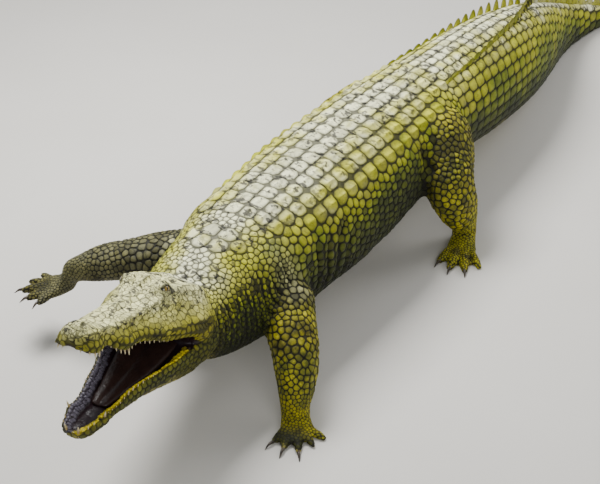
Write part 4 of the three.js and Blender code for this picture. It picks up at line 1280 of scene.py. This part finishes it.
for name in [n for n in frame["nodes"] if n.startswith("claw")]:
    claw = solid_copy(name, "horn_" + name)
    apply_modifier(claw, "SUBSURF", levels=2, render_levels=2)
    low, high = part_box(name)
    horn_points = read_points(claw.data)
    foot_low, foot_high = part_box("foot" + name[name.index("_", 5) :])
    heel = np.array(foot_low + foot_high) / 2
    reach = np.linalg.norm(horn_points[:, :2] - heel[:2], axis=1)
    share = (reach - reach.min()) / (reach.max() - reach.min())
    middle = horn_points.mean(0)
    inward = heel[:2] - middle[:2]
    inward /= np.linalg.norm(inward)
    horn_points[:, :2] += inward * (CLAW_ROOT * (1 - share[:, None]))
    horn_points[:, 2] = middle[2] + (horn_points[:, 2] - middle[2]) * (1.35 - 0.3 * share)
    horn_points[:, 2] += CLAW_ARCH * np.sin(math.pi * share) * 1.1 - CLAW_ARCH * share**2
    horn_points[:, 2] = np.maximum(horn_points[:, 2], low.z)
    write_points(claw.data, horn_points)
    claw.data.shade_smooth()
    claw.data.materials.append(horn)
    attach(claw, "root")
    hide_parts(name)

# ---- Scales: where each one grows -------------------------------------------------------
# Every scale is a small plate of horn that grows from one place on the skin. Rows come
# first: back shields, flank and belly rows, tail whorls; small scales fill what is left.
ROW = 59.0
FIRST_ROW = 985.0
WHORL = 55.0
DOUBLE_WHORLS = 17
WHORLS = 35
# Width of a back shield as a share of the body's, how far down the side the flank reaches,
# and how far apart and how large the scales of a row are.
SHIELD_WIDTH = 0.243
FLANK_END = 0.66
ROW_SCALES = {"flank": (29, 30), "belly": (34, 33), "whorl": (41, 48)}
SEED_REACH = 0.014
random.seed(4)
flat_faces = [tuple(face.vertices) for face in mesh.polygons]
corners = np.array(flat_faces)
surface_tree = BVHTree.FromPolygons([tuple(p) for p in points], flat_faces)
face_normals = normals[corners].mean(1)
face_normals /= np.linalg.norm(face_normals, axis=1)[:, None]
planted = []


def on_skin(point):
    """The place on the skin nearest to a point, with its face, or nothing if too far."""
    found = surface_tree.find_nearest(Vector(point), SEED_REACH)
    return None if found[0] is None else (np.array(found[0]), found[2])


def plant(point, size, kind, jitter):
    """Sets a seed of a scale on the skin near a place: size in millimetres, and kind."""
    moved = np.array(point) + np.array([random.gauss(0, 1) for _ in range(3)]) * size * jitter / 1000
    found = on_skin(moved)
    if found is not None:
        planted.append((found[0], found[1], size, kind))


def section_angles(s, lengths):
    """Angles on a section for lengths down its side from the ridge of the back."""
    angle = np.linspace(math.pi / 2, -math.pi / 2, 161)
    outline = body_point(np.full(161, s), angle)
    travelled = np.concatenate([[0], np.cumsum(np.linalg.norm(np.diff(outline, axis=0), axis=1))]) * 1000
    return np.interp(lengths, travelled, angle), travelled[-1]


def plant_row(s, lengths, size, kind, jitter=0.02):
    """A row of scales across the body, alike on both sides."""
    angles, _ = section_angles(s, lengths)
    for angle in angles:
        for turned in (angle, math.pi - angle):
            own_size = size * (1 + random.uniform(-2.2, 1.2) * jitter)
            plant(body_point(np.array([s]), np.array([turned]))[0], own_size, kind, jitter)


def girth(s):
    return section_angles(s, [0])[1]


# Neck shields: four behind the skull, then a square of four with one more on each side.
for s, across, size, kind in (
    (664, 17, 30, "nape"),
    (676, 52, 26, "nape"),
    (806, 31, 60, "shield"),
    (866, 31, 58, "shield"),
    (838, 86, 50, "shield"),
):
    plant_row(s, [across], size, kind)
# Plates along the lips, larger than their neighbours, in two rows on each jaw. Pitch and
# stations of the jaw, column of its rim, where its end turns round, and which way is off it.
LIP_STEP = 19
LIPS = (
    (SKULL_PITCH, SKULL, 4, 552, 26, 1),
    (JAW_PITCH, JAW, 3, 545, 24, -1),
)
for ahead in np.arange(48, 545, LIP_STEP):
    for hand in (1, -1):
        for pitch, stations, column, end, round_end, way in LIPS:
            half = float(along(stations, 1, ahead)) * math.sqrt(min(1.0, (end - ahead) / round_end))
            rim = float(along(stations, column, ahead))
            for further, off in ((0, 10), (9, 27)):
                spot = head_point(pitch, ahead + further, hand * half, rim + way * off)
                plant(spot, LIP_STEP, "lip", 0)
# Round beads of gum, in two uneven rows inside the lower teeth.
BEAD = 13
for ahead in np.arange(100, 524, BEAD - 1):
    for hand in (1, -1):
        half = float(along(JAW, 1, ahead)) * math.sqrt(min(1.0, (545 - ahead) / 24))
        edge_height = float(along(JAW, 3, ahead))
        for row, drop in ((15, 1), (26, 12)):
            spot = head_point(JAW_PITCH, ahead + row / 3, hand * (half - row), edge_height - drop)
            plant(spot, BEAD * random.uniform(0.75, 1.1), "bead", 0.17)
rows = int((TAIL_START - FIRST_ROW) / ROW) + 1
for row in range(rows):
    s = FIRST_ROW + row * ROW
    whole = girth(s)
    wide = SHIELD_WIDTH * float(along(BODY, 3, s))
    per_side = 3 if row < 2 or row > rows - 3 else 4
    plant_row(s, (np.arange(per_side) + 0.5) * wide, wide, "shield")
    back_end = per_side * wide
    flank_end = whole * FLANK_END
    for half_row, stagger in ((-0.5, 0.75), (0.5, 0.3)):
        for kind, top, end, offset, jitter in (
            ("flank", back_end, flank_end, stagger, 0.11),
            ("belly", flank_end, whole, 0.5, 0.02),
        ):
            apart, size = ROW_SCALES[kind]
            count = round((end - top) / apart)
            steps = (np.arange(count) + offset) * (end - top) / count
            plant_row(s + half_row * ROW / 2, top + steps, size, kind, jitter)
for whorl in range(WHORLS):
    s = TAIL_START + (whorl + 0.5) * WHORL
    whole = girth(s)
    apart, size = ROW_SCALES["whorl"]
    count = max(3, round(whole / apart))
    plant_row(s, (np.arange(count) + 0.5) * whole / count, size, "whorl")

# Small scales fill the neck, limbs, feet and head, close set but in no strict rows.
spine_length = body_local(points)[0]
on_leg = on_limb > 0.5
in_front = spine_length < FIRST_ROW - 60
grain_size = np.full(len(points), 24.0)
for where, size in (
    (spine_length < FIRST_ROW - 30, 17.0),
    (in_front & (HIDE_MAPS["back"] < 0.66), 12.5),
    (on_leg, 21.0),
    (on_leg & (length > 330), 17.0),
    (on_leg & (length > 430), 12.0),
    (on_leg & (length > 490), 10.5),
    ((gape_place[:, 2] > 0) & (spine_length < 600), 19.0),
    ((gape_place[:, 2] <= 0) & (spine_length < 560), 16.0),
):
    grain_size[where] = size
grain_size = grain_size * (1 + 0.5 * noisy(points, 9))
# They are smallest round the eyes and the nostrils: place, length and width of a nostril.
NOSTRIL = np.array((522, 15, 13, 8))
in_nostril = (((folded[:, :2] - NOSTRIL[:2]) / NOSTRIL[2:]) ** 2).sum(1)
in_nostril = np.sqrt(in_nostril) + (folded[:, 2] < 45) * 9
near_eye = np.linalg.norm(folded - EYE, axis=1)
for where, size in ((near_eye < 60, 11.0), (near_eye < 38, 6.5), (in_nostril < 2.2, 7.0)):
    grain_size[where] = size

# How many places to try on each face of the skin, with none in the mouth, on the eyes, in
# the nostrils or under the soles.
TRIES = 14
first = points[corners[:, 0]]
areas = np.cross(points[corners[:, 1]] - first, points[corners[:, 2]] - first)
areas = np.linalg.norm(areas, axis=1) * 0.5e6
face_grain = grain_size[corners].mean(1)
sole = (points[corners][:, :, 2].max(1) < 0.012) & (face_normals[:, 2] < -0.6)
opened = np.zeros(len(points), bool)
for name in EYE_LOOK:
    local = eye_local(name, points)[0]
    opened |= (lid_opening(local) > -0.25) & (local[:, 2] > 0) & (np.abs(local[:, 0]) < 24)
opened |= in_nostril < 1
bare = (mouth[corners].max(1) > 0.12) | opened[corners].any(1) | sole
tries = np.where(bare, 0, areas / face_grain**2 * TRIES)
generator = np.random.default_rng(11)
tries = np.floor(tries + generator.random(len(tries))).astype(int)
chosen = np.repeat(np.arange(len(tries)), tries)
generator.shuffle(chosen)
weights = generator.random((len(chosen), 2))
flip = weights.sum(1) > 1
weights[flip] = 1 - weights[flip]
base = first[chosen]
spots = base + weights[:, :1] * (points[corners[chosen, 1]] - base)
spots += weights[:, 1:] * (points[corners[chosen, 2]] - base)

# Two scales stand no closer than this share of their sizes, and rows keep others off.
CLOSEST = 0.00043
ROW_ROOM = 1.4
GRID = 0.045
taken = {}


def grid_key(point):
    return tuple(int(math.floor(x / GRID)) for x in point)


def room_for(point, size):
    """Whether no seed stands closer than the two scales' sizes allow."""
    kx, ky, kz = grid_key(point)
    for x in (kx - 1, kx, kx + 1):
        for y in (ky - 1, ky, ky + 1):
            for z in (kz - 1, kz, kz + 1):
                for px, py, pz, other in taken.get((x, y, z), ()):
                    least = CLOSEST * (size + other)
                    if (px - point[0]) ** 2 + (py - point[1]) ** 2 + (pz - point[2]) ** 2 < least * least:
                        return False
    return True


def take(point, size):
    taken.setdefault(grid_key(point), []).append((point[0], point[1], point[2], size))


planted = [seed for seed in planted if seed[3] == "bead" or not bare[seed[1]]]
for spot, face, size, kind in planted:
    take(spot, size * (1.0 if kind in ("lip", "flank") else ROW_ROOM))
for spot, face in zip(spots.tolist(), chosen.tolist()):
    size = float(face_grain[face])
    if room_for(spot, size):
        take(spot, size)
        planted.append((np.array(spot), face, size, "small"))

# ---- Scales: the plates -----------------------------------------------------------------
# Each plate fills its own cell between its neighbours: a dome or keel of horn with a
# rounded edge, its foot sunk in the skin, a narrow fold of bare skin all round it.
# Of each kind: how far its corners are cut, height of its dome and of its keel, the fold
# round it, how oval it is, how it rises to the tail, and the corners of a fine outline.
# Millimetres, but of the small ones and those of the head shares of their size.
PLATES = {
    "shield": (0.24, 4.0, 11.0, 3.0, 0.1, 0.25, 24),
    "nape": (0.24, 3.2, 8.0, 2.4, 0.45, 0.2, 24),
    "flank": (0.24, 3.4, 0.0, 2.2, 0.45, 0.15, 0),
    "belly": (0.24, 1.5, 0.0, 1.8, 0.0, 0.1, 0),
    "whorl": (0.24, 3.6, 2.0, 2.0, 0.03, 0.4, 14),
    "lip": (0.24, 2.2, 0.0, 1.6, 0.35, 0.0, 0),
    "small": (0.24, 0.11, 0.0, 0.1, 0.25, 0.3, 0),
    "bead": (0.24, 3.2, 0.0, 0.8, 0.7, 0.0, 0),
    "head": (0.12, 0.03, 0.0, 0.012, 0.0, 0.0, 0),
}
FOOT_DEPTH = 1.3
# Rings of a plate from its rim inwards, by its corners: share of its width and of its dome.
RINGS = {
    0: ((0.96, 0.5), (0.7, 0.94)),
    14: ((0.98, 0.45), (0.84, 0.88), (0.45, 1.0)),
    24: ((0.98, 0.4), (0.91, 0.78), (0.7, 0.95), (0.42, 1.0), (0.18, 1.0)),
}
LARGEST = 62
NEIGHBOURS = 20
CELL_REACH = 0.74
# A plate narrower than this share of its size is left out. Keeled ones are a little uneven.
SLIVER = 0.16
UNEVEN = 0.9


class Seeds:
    """The seeds as arrays, each with the axes of its own plate: along, across and out."""

    def __init__(self, planted):
        self.place = np.array([seed[0] for seed in planted])
        face = np.array([seed[1] for seed in planted])
        self.size = np.array([seed[2] for seed in planted])
        self.kind = [seed[3] for seed in planted]
        self.vertex = corners[face]
        self.out = face_normals[face]
        s = body_local(self.place)[0]
        turn = along(TURNS, 1, s)
        to_tail = -np.stack([np.cos(turn), np.sin(turn), np.zeros(len(s))], -1)
        on_leg = on_limb[self.vertex].mean(1)[:, None]
        way = to_tail * (1 - on_leg) + limb_way[self.vertex].mean(1) * on_leg
        way -= self.out * (way * self.out).sum(1)[:, None]
        self.along = way / np.maximum(np.linalg.norm(way, axis=1), 1e-9)[:, None]
        self.across = np.cross(self.out, self.along)
        self.tree = kdtree.KDTree(len(self.place))
        for number, spot in enumerate(self.place):
            self.tree.insert(spot, number)
        self.tree.balance()


def clipped(outline, nx, ny, limit):
    """The part of an outline that lies below a line."""
    kept = []
    for (ax, ay), (bx, by) in zip(outline, outline[1:] + outline[:1]):
        a = ax * nx + ay * ny - limit
        b = bx * nx + by * ny - limit
        if a <= 0:
            kept.append((ax, ay))
        if (a < 0) != (b < 0) and a != b:
            t = a / (a - b)
            kept.append((ax + (bx - ax) * t, ay + (by - ay) * t))
    return kept


def cell(seeds, number, gap):
    """The outline of a plate, in millimetres along and across, between its neighbours."""
    size = seeds.size[number]
    reach = CELL_REACH * size
    outline = [(reach * math.cos(k * math.pi / 5), reach * math.sin(k * math.pi / 5)) for k in range(10)]
    origin = seeds.place[number]
    out = seeds.out[number]
    for _, other, far in seeds.tree.find_n(origin, NEIGHBOURS):
        if other == number:
            continue
        if far * 1000 > reach + CELL_REACH * LARGEST:
            break
        if out @ seeds.out[other] < 0.0:
            continue
        step = (seeds.place[other] - origin) * 1000
        dx = step @ seeds.along[number]
        dy = step @ seeds.across[number]
        flat = math.hypot(dx, dy)
        if flat < 1e-6:
            continue
        middle = flat / 2 + (size * size - seeds.size[other] ** 2) / (8 * flat)
        outline = clipped(outline, dx / flat, dy / flat, middle - gap / 2)
        if len(outline) < 3:
            return []
    return outline


def centre_of(outline):
    area = cx = cy = 0.0
    for (ax, ay), (bx, by) in zip(outline, outline[1:] + outline[:1]):
        cross = ax * by - bx * ay
        area += cross
        cx += (ax + bx) * cross
        cy += (ay + by) * cross
    return (cx / (3 * area), cy / (3 * area)) if abs(area) > 1e-6 else (0.0, 0.0)


def softened(outline, cut, oval, wanted):
    """The outline with its corners cut, or resampled, and drawn towards an oval."""
    cx, cy = centre_of(outline)
    ring = []
    count = len(outline)
    for k, (x, y) in enumerate(outline):
        for px, py in (outline[k - 1], outline[(k + 1) % count]):
            ring.append((x + (px - x) * cut, y + (py - y) * cut))
    if wanted:
        span = np.array(ring + ring[:1])
        travelled = np.concatenate([[0], np.cumsum(np.linalg.norm(np.diff(span, axis=0), axis=1))])
        where = np.linspace(0, travelled[-1], wanted, endpoint=False)
        ring = list(zip(np.interp(where, travelled, span[:, 0]), np.interp(where, travelled, span[:, 1])))
    rx = max(abs(x - cx) for x, y in ring)
    ry = max(abs(y - cy) for x, y in ring)
    soft = []
    for x, y in ring:
        dx = x - cx
        dy = y - cy
        grow = 1 / max(math.hypot(dx / rx, dy / ry), 0.3)
        k = 1 + oval * (min(grow, 1.15) - 1)
        soft.append((cx + dx * k, cy + dy * k))
    return soft, (cx, cy), rx, ry


def unwrapped(place, vertex):
    """Where places lie on the skin's own unwrap: a strip for the body, one for each limb."""
    s, _, side, _ = body_share(place)
    height = (place[:, 2] - shift[2]) * 1000
    level = along(BODY, 2, s) + WIDEST * (along(BODY, 1, s) - along(BODY, 2, s))
    around = np.arctan2(height - level, side) / (2 * math.pi) + 0.5
    flat = np.stack([0.01 + 0.97 * s / TAIL_TIP, 0.01 + 0.46 * around], -1)
    which, length, _, way = limb_local(place)
    lines = [np.array(line).mean(0) / 1000 + shift for line in LIMB_LINES.values()]
    outward = place - np.array(lines)[which]
    level_axis = np.cross(way, (0, 0, 1.0))
    level_axis /= np.maximum(np.linalg.norm(level_axis, axis=1), 1e-6)[:, None]
    upright = np.cross(level_axis, way)
    round_limb = np.arctan2((outward * upright).sum(1), (outward * level_axis).sum(1))
    limb_flat = np.stack([
        0.01 + 0.245 * which + 0.225 * np.clip(length / 700, 0, 1),
        0.52 + 0.46 * (round_limb / (2 * math.pi) + 0.5),
    ], -1)
    on_leg = on_limb[vertex].mean(1)[:, None] > 0.5
    return np.where(on_leg, limb_flat, flat)


seeds = Seeds(planted)
# Two rounds that move each small seed to the middle of its cell even out the spacing.
for _ in range(2):
    settled = []
    for number, kind in enumerate(seeds.kind):
        spot = seeds.place[number]
        face = None
        if kind == "small":
            outline = cell(seeds, number, 0)
            if outline:
                cx, cy = centre_of(outline)
                moved = spot + (seeds.along[number] * cx + seeds.across[number] * cy) / 1000
                found = on_skin(moved)
                if found is not None:
                    spot, face = found
        if face is None:
            face = surface_tree.find_nearest(Vector(spot))[2]
        settled.append((spot, face, seeds.size[number], kind))
    seeds = Seeds(settled)
seed_maps = {name: values[seeds.vertex].mean(1) for name, values in HIDE_MAPS.items()}
seed_uv = unwrapped(seeds.place, seeds.vertex)
seed_tone = np.random.default_rng(5).random(len(seeds.kind))
on_skull = (head_local(GAPE_PITCH, seeds.place)[:, 2] > 0) & (seed_maps["head"] > 0.5)
PATCH = 0.003


def finish_coat(piece, maps, uv):
    """Gives a piece of the coat its maps, each scale its patch of the unwrap, and the hide."""
    mesh = piece.data
    for label, values in maps.items():
        write_map(mesh, label, values)
    loop_vertex = np.empty(len(mesh.loops), np.int32)
    mesh.loops.foreach_get("vertex_index", loop_vertex)
    layer = mesh.uv_layers.new(name="OFBake")
    layer.data.foreach_set("uv", uv[loop_vertex].astype(np.float32).ravel())
    mesh.materials.append(hide)
    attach(piece, "root")


def lay_scales(name, numbers):
    """One piece of the coat: the plates that grow from the seeds with these numbers."""
    points = []
    faces = []
    edge = []
    owner = []
    patch = []
    for number in numbers:
        kind = seeds.kind[number]
        if kind == "small" and on_skull[number]:
            kind = "head"
        trim, dome, keel, gap, oval, lean, wanted = PLATES[kind]
        size = seeds.size[number]
        scale = size if kind in ("small", "head") else 1.0
        outline = cell(seeds, number, gap * scale)
        if len(outline) < 3 or (kind != "bead" and seed_maps["mouth"][number] > 0.1):
            continue
        ring, (cx, cy), rx, ry = softened(outline, trim, oval, wanted)
        if min(rx, ry) < SLIVER * size:
            continue
        dome *= scale * min(1.0, 2.4 * min(rx, ry) / size)
        rim_dark = min(1.0, 0.55 + size / 40)
        thinness = 9 if kind == "head" else 3
        rings = RINGS[wanted]
        first = len(points)
        count = len(ring)
        for level, (share, rise) in enumerate(((1.0, 0.0), *rings, (0.0, 1.0))):
            for x, y in ring if share else ((cx, cy),):
                dx = (x - cx) * share
                dy = (y - cy) * share
                spot = seeds.along[number] * (cx + dx) + seeds.across[number] * (cy + dy)
                spot = seeds.place[number] + spot / 1000
                found = surface_tree.find_nearest(Vector(spot))
                height = rise * dome * (1 + lean * dx / rx) if level else -FOOT_DEPTH
                if level and keel:
                    ridge = math.exp(-((dy / (0.2 * ry)) ** 2)) * (1 - (dx / rx) ** 2 * 0.75)
                    height += keel * ridge * (1 - share**6) * (0.75 + 0.35 * dx / rx)
                    height += UNEVEN * noise.noise(Vector(spot) * 130) * (1 - share**4)
                way = seeds.out[number] + face_normals[found[2]]
                way /= math.sqrt(way @ way)
                spot = np.array(found[0]) + way * (height / 1000)
                points.append((spot[0], spot[1], max(spot[2], 0.0)))
                edge.append(share**thinness * rim_dark)
                patch.append((dx / rx * PATCH / 2, dy / ry * PATCH / 2))
                owner.append(number)
        for level in range(len(rings)):
            a = first + level * count
            for k in range(count):
                after = (k + 1) % count
                faces.append((a + k, a + after, a + count + after, a + count + k))
        a = first + len(rings) * count
        faces.extend((a + k, a + (k + 1) % count, a + count) for k in range(count))
        faces.append(tuple(range(first + count - 1, first - 1, -1)))
    piece = new_piece(name, points, faces)
    piece.data.shade_smooth()
    owner = np.array(owner)
    maps = {label: values[owner] for label, values in seed_maps.items()}
    finish_coat(piece, {**maps, "edge": edge, "tone": seed_tone[owner]}, seed_uv[owner] + np.array(patch))


GROUP_NAMES = {"shield": "back_shields", "nape": "back_shields", "whorl": "tail_whorls", "bead": "gum_beads"}
FOOT_START = 400
groups = {}
seed_s = body_local(seeds.place)[0]
seed_which, seed_length, _, _ = limb_local(seeds.place)
for number, kind in enumerate(seeds.kind):
    if kind not in ("small", "lip"):
        label = GROUP_NAMES.get(kind, kind + "_scales")
    elif seed_maps["limb"][number] > 0.5:
        label = "foot_scales_" if seed_length[number] > FOOT_START else "leg_scales_"
        label += LIMB_NAMES[seed_which[number]]
    elif seed_maps["head"][number] > 0.5:
        label = "skull_scales" if on_skull[number] else "jaw_scales"
    else:
        label = "neck_scales" if seed_s[number] < FIRST_ROW else "filling_scales"
    groups.setdefault(label, []).append(number)
for label, numbers in groups.items():
    lay_scales(label, numbers)

# ---- Tail crest -------------------------------------------------------------------------
# Upright fins of thin horn over the tail, one on each side of every whorl as far as the
# seventeenth, then a single row along the ridge to the tip. Each is rooted in the skin.
# Length along the spine, how high a fin stands, and how far to the side, as a share.
CREST = (
    (2060, 11, 0.60),
    (2400, 22, 0.52),
    (2700, 36, 0.40),
    (2995, 52, 0.11),
    (3150, 58, 0.04),
    (3400, 54, 0.0),
    (3700, 38, 0.0),
    (4000, 13, 0.0),
)
FIN_LENGTH = 58.0
FIN_LEAN = 15.0
FIN_THICKNESS = 3.2
FIN_COLUMNS = 11
FIN_TONE = 0.8
FIN_LEVELS = (-0.22, 0.05, 0.3, 0.55, 0.8, 1.0)
ABOVE_TAIL = 900.0


def lay_crest(name):
    """The whole crest as one piece of the coat, each fin a closed leaf of horn."""
    points = []
    faces = []
    edge = []
    patch = []
    roots = []
    share = np.linspace(0, 1, FIN_COLUMNS)
    profile = np.sin(math.pi * share**1.25) ** 0.62
    rows = len(FIN_LEVELS)
    ring = 2 * FIN_COLUMNS
    order = [*range(FIN_COLUMNS), *range(ring - 1, FIN_COLUMNS - 1, -1)]
    for whorl in range(WHORLS):
        middle = TAIL_START + (whorl + 0.5) * WHORL
        half = float(along(BODY, 3, middle))
        rise = float(along(CREST, 1, middle))
        spread = float(along(CREST, 2, middle)) * half
        long = min(FIN_LENGTH, FIN_LENGTH * (TAIL_TIP + 40 - middle) / 160)
        thick = FIN_THICKNESS + 0.045 * half
        for side in (spread, -spread) if whorl < DOUBLE_WHORLS else (0.0,):
            s = middle + (share - 0.5) * long
            tops = beside(s, side, ABOVE_TAIL)
            bases = [surface_tree.ray_cast(Vector(top), Vector((0, 0, -1))) for top in tops]
            if any(base[0] is None for base in bases):
                continue
            start = len(points)
            for level in FIN_LEVELS:
                up = max(level, 0.0)
                for hand in (1, -1):
                    for k in range(FIN_COLUMNS):
                        taper = (1 - abs(2 * share[k] - 1) ** 4) * (1 - up) ** 0.6
                        across = hand * (thick / 2 * taper + 0.35) + np.sign(side) * rise * up * 0.16
                        x, y, _ = beside(s[k] + FIN_LEAN * up, side + across, 0.0)
                        z = bases[k][0].z + rise * level * (profile[k] if level > 0 else 0.6) / 1000
                        points.append((x, y, z))
                        edge.append(0.3 + 0.5 * up**2)
                        patch.append(((share[k] - 0.5) * PATCH, (level - 0.4) * PATCH * 0.8))
            for level in range(rows - 1):
                for k in range(ring):
                    a = start + level * ring + order[k]
                    b = start + level * ring + order[(k + 1) % ring]
                    faces.append((b, a, a + ring, b + ring))
            last = start + (rows - 1) * ring
            faces.append(tuple(start + k for k in order))
            faces.append(tuple(last + k for k in reversed(order)))
            root = bases[FIN_COLUMNS // 2]
            roots.extend([(root[0], corners[root[2]])] * (rows * ring))
    piece = new_piece(name, points, faces)
    choose(piece, "FACE", True)
    bpy.ops.mesh.normals_make_consistent(inside=False)
    bpy.ops.object.mode_set(mode="OBJECT")
    bpy.ops.object.shade_smooth_by_angle(angle=math.radians(50))
    vertices = np.array([root[1] for root in roots])
    maps = {label: values[vertices].mean(1) for label, values in HIDE_MAPS.items()}
    maps["back"] *= FIN_TONE
    uv = unwrapped(np.array([root[0] for root in roots]), vertices) + np.array(patch)
    finish_coat(piece, {**maps, "edge": edge, "tone": np.full(len(points), 0.4)}, uv)


lay_crest("tail_crest")
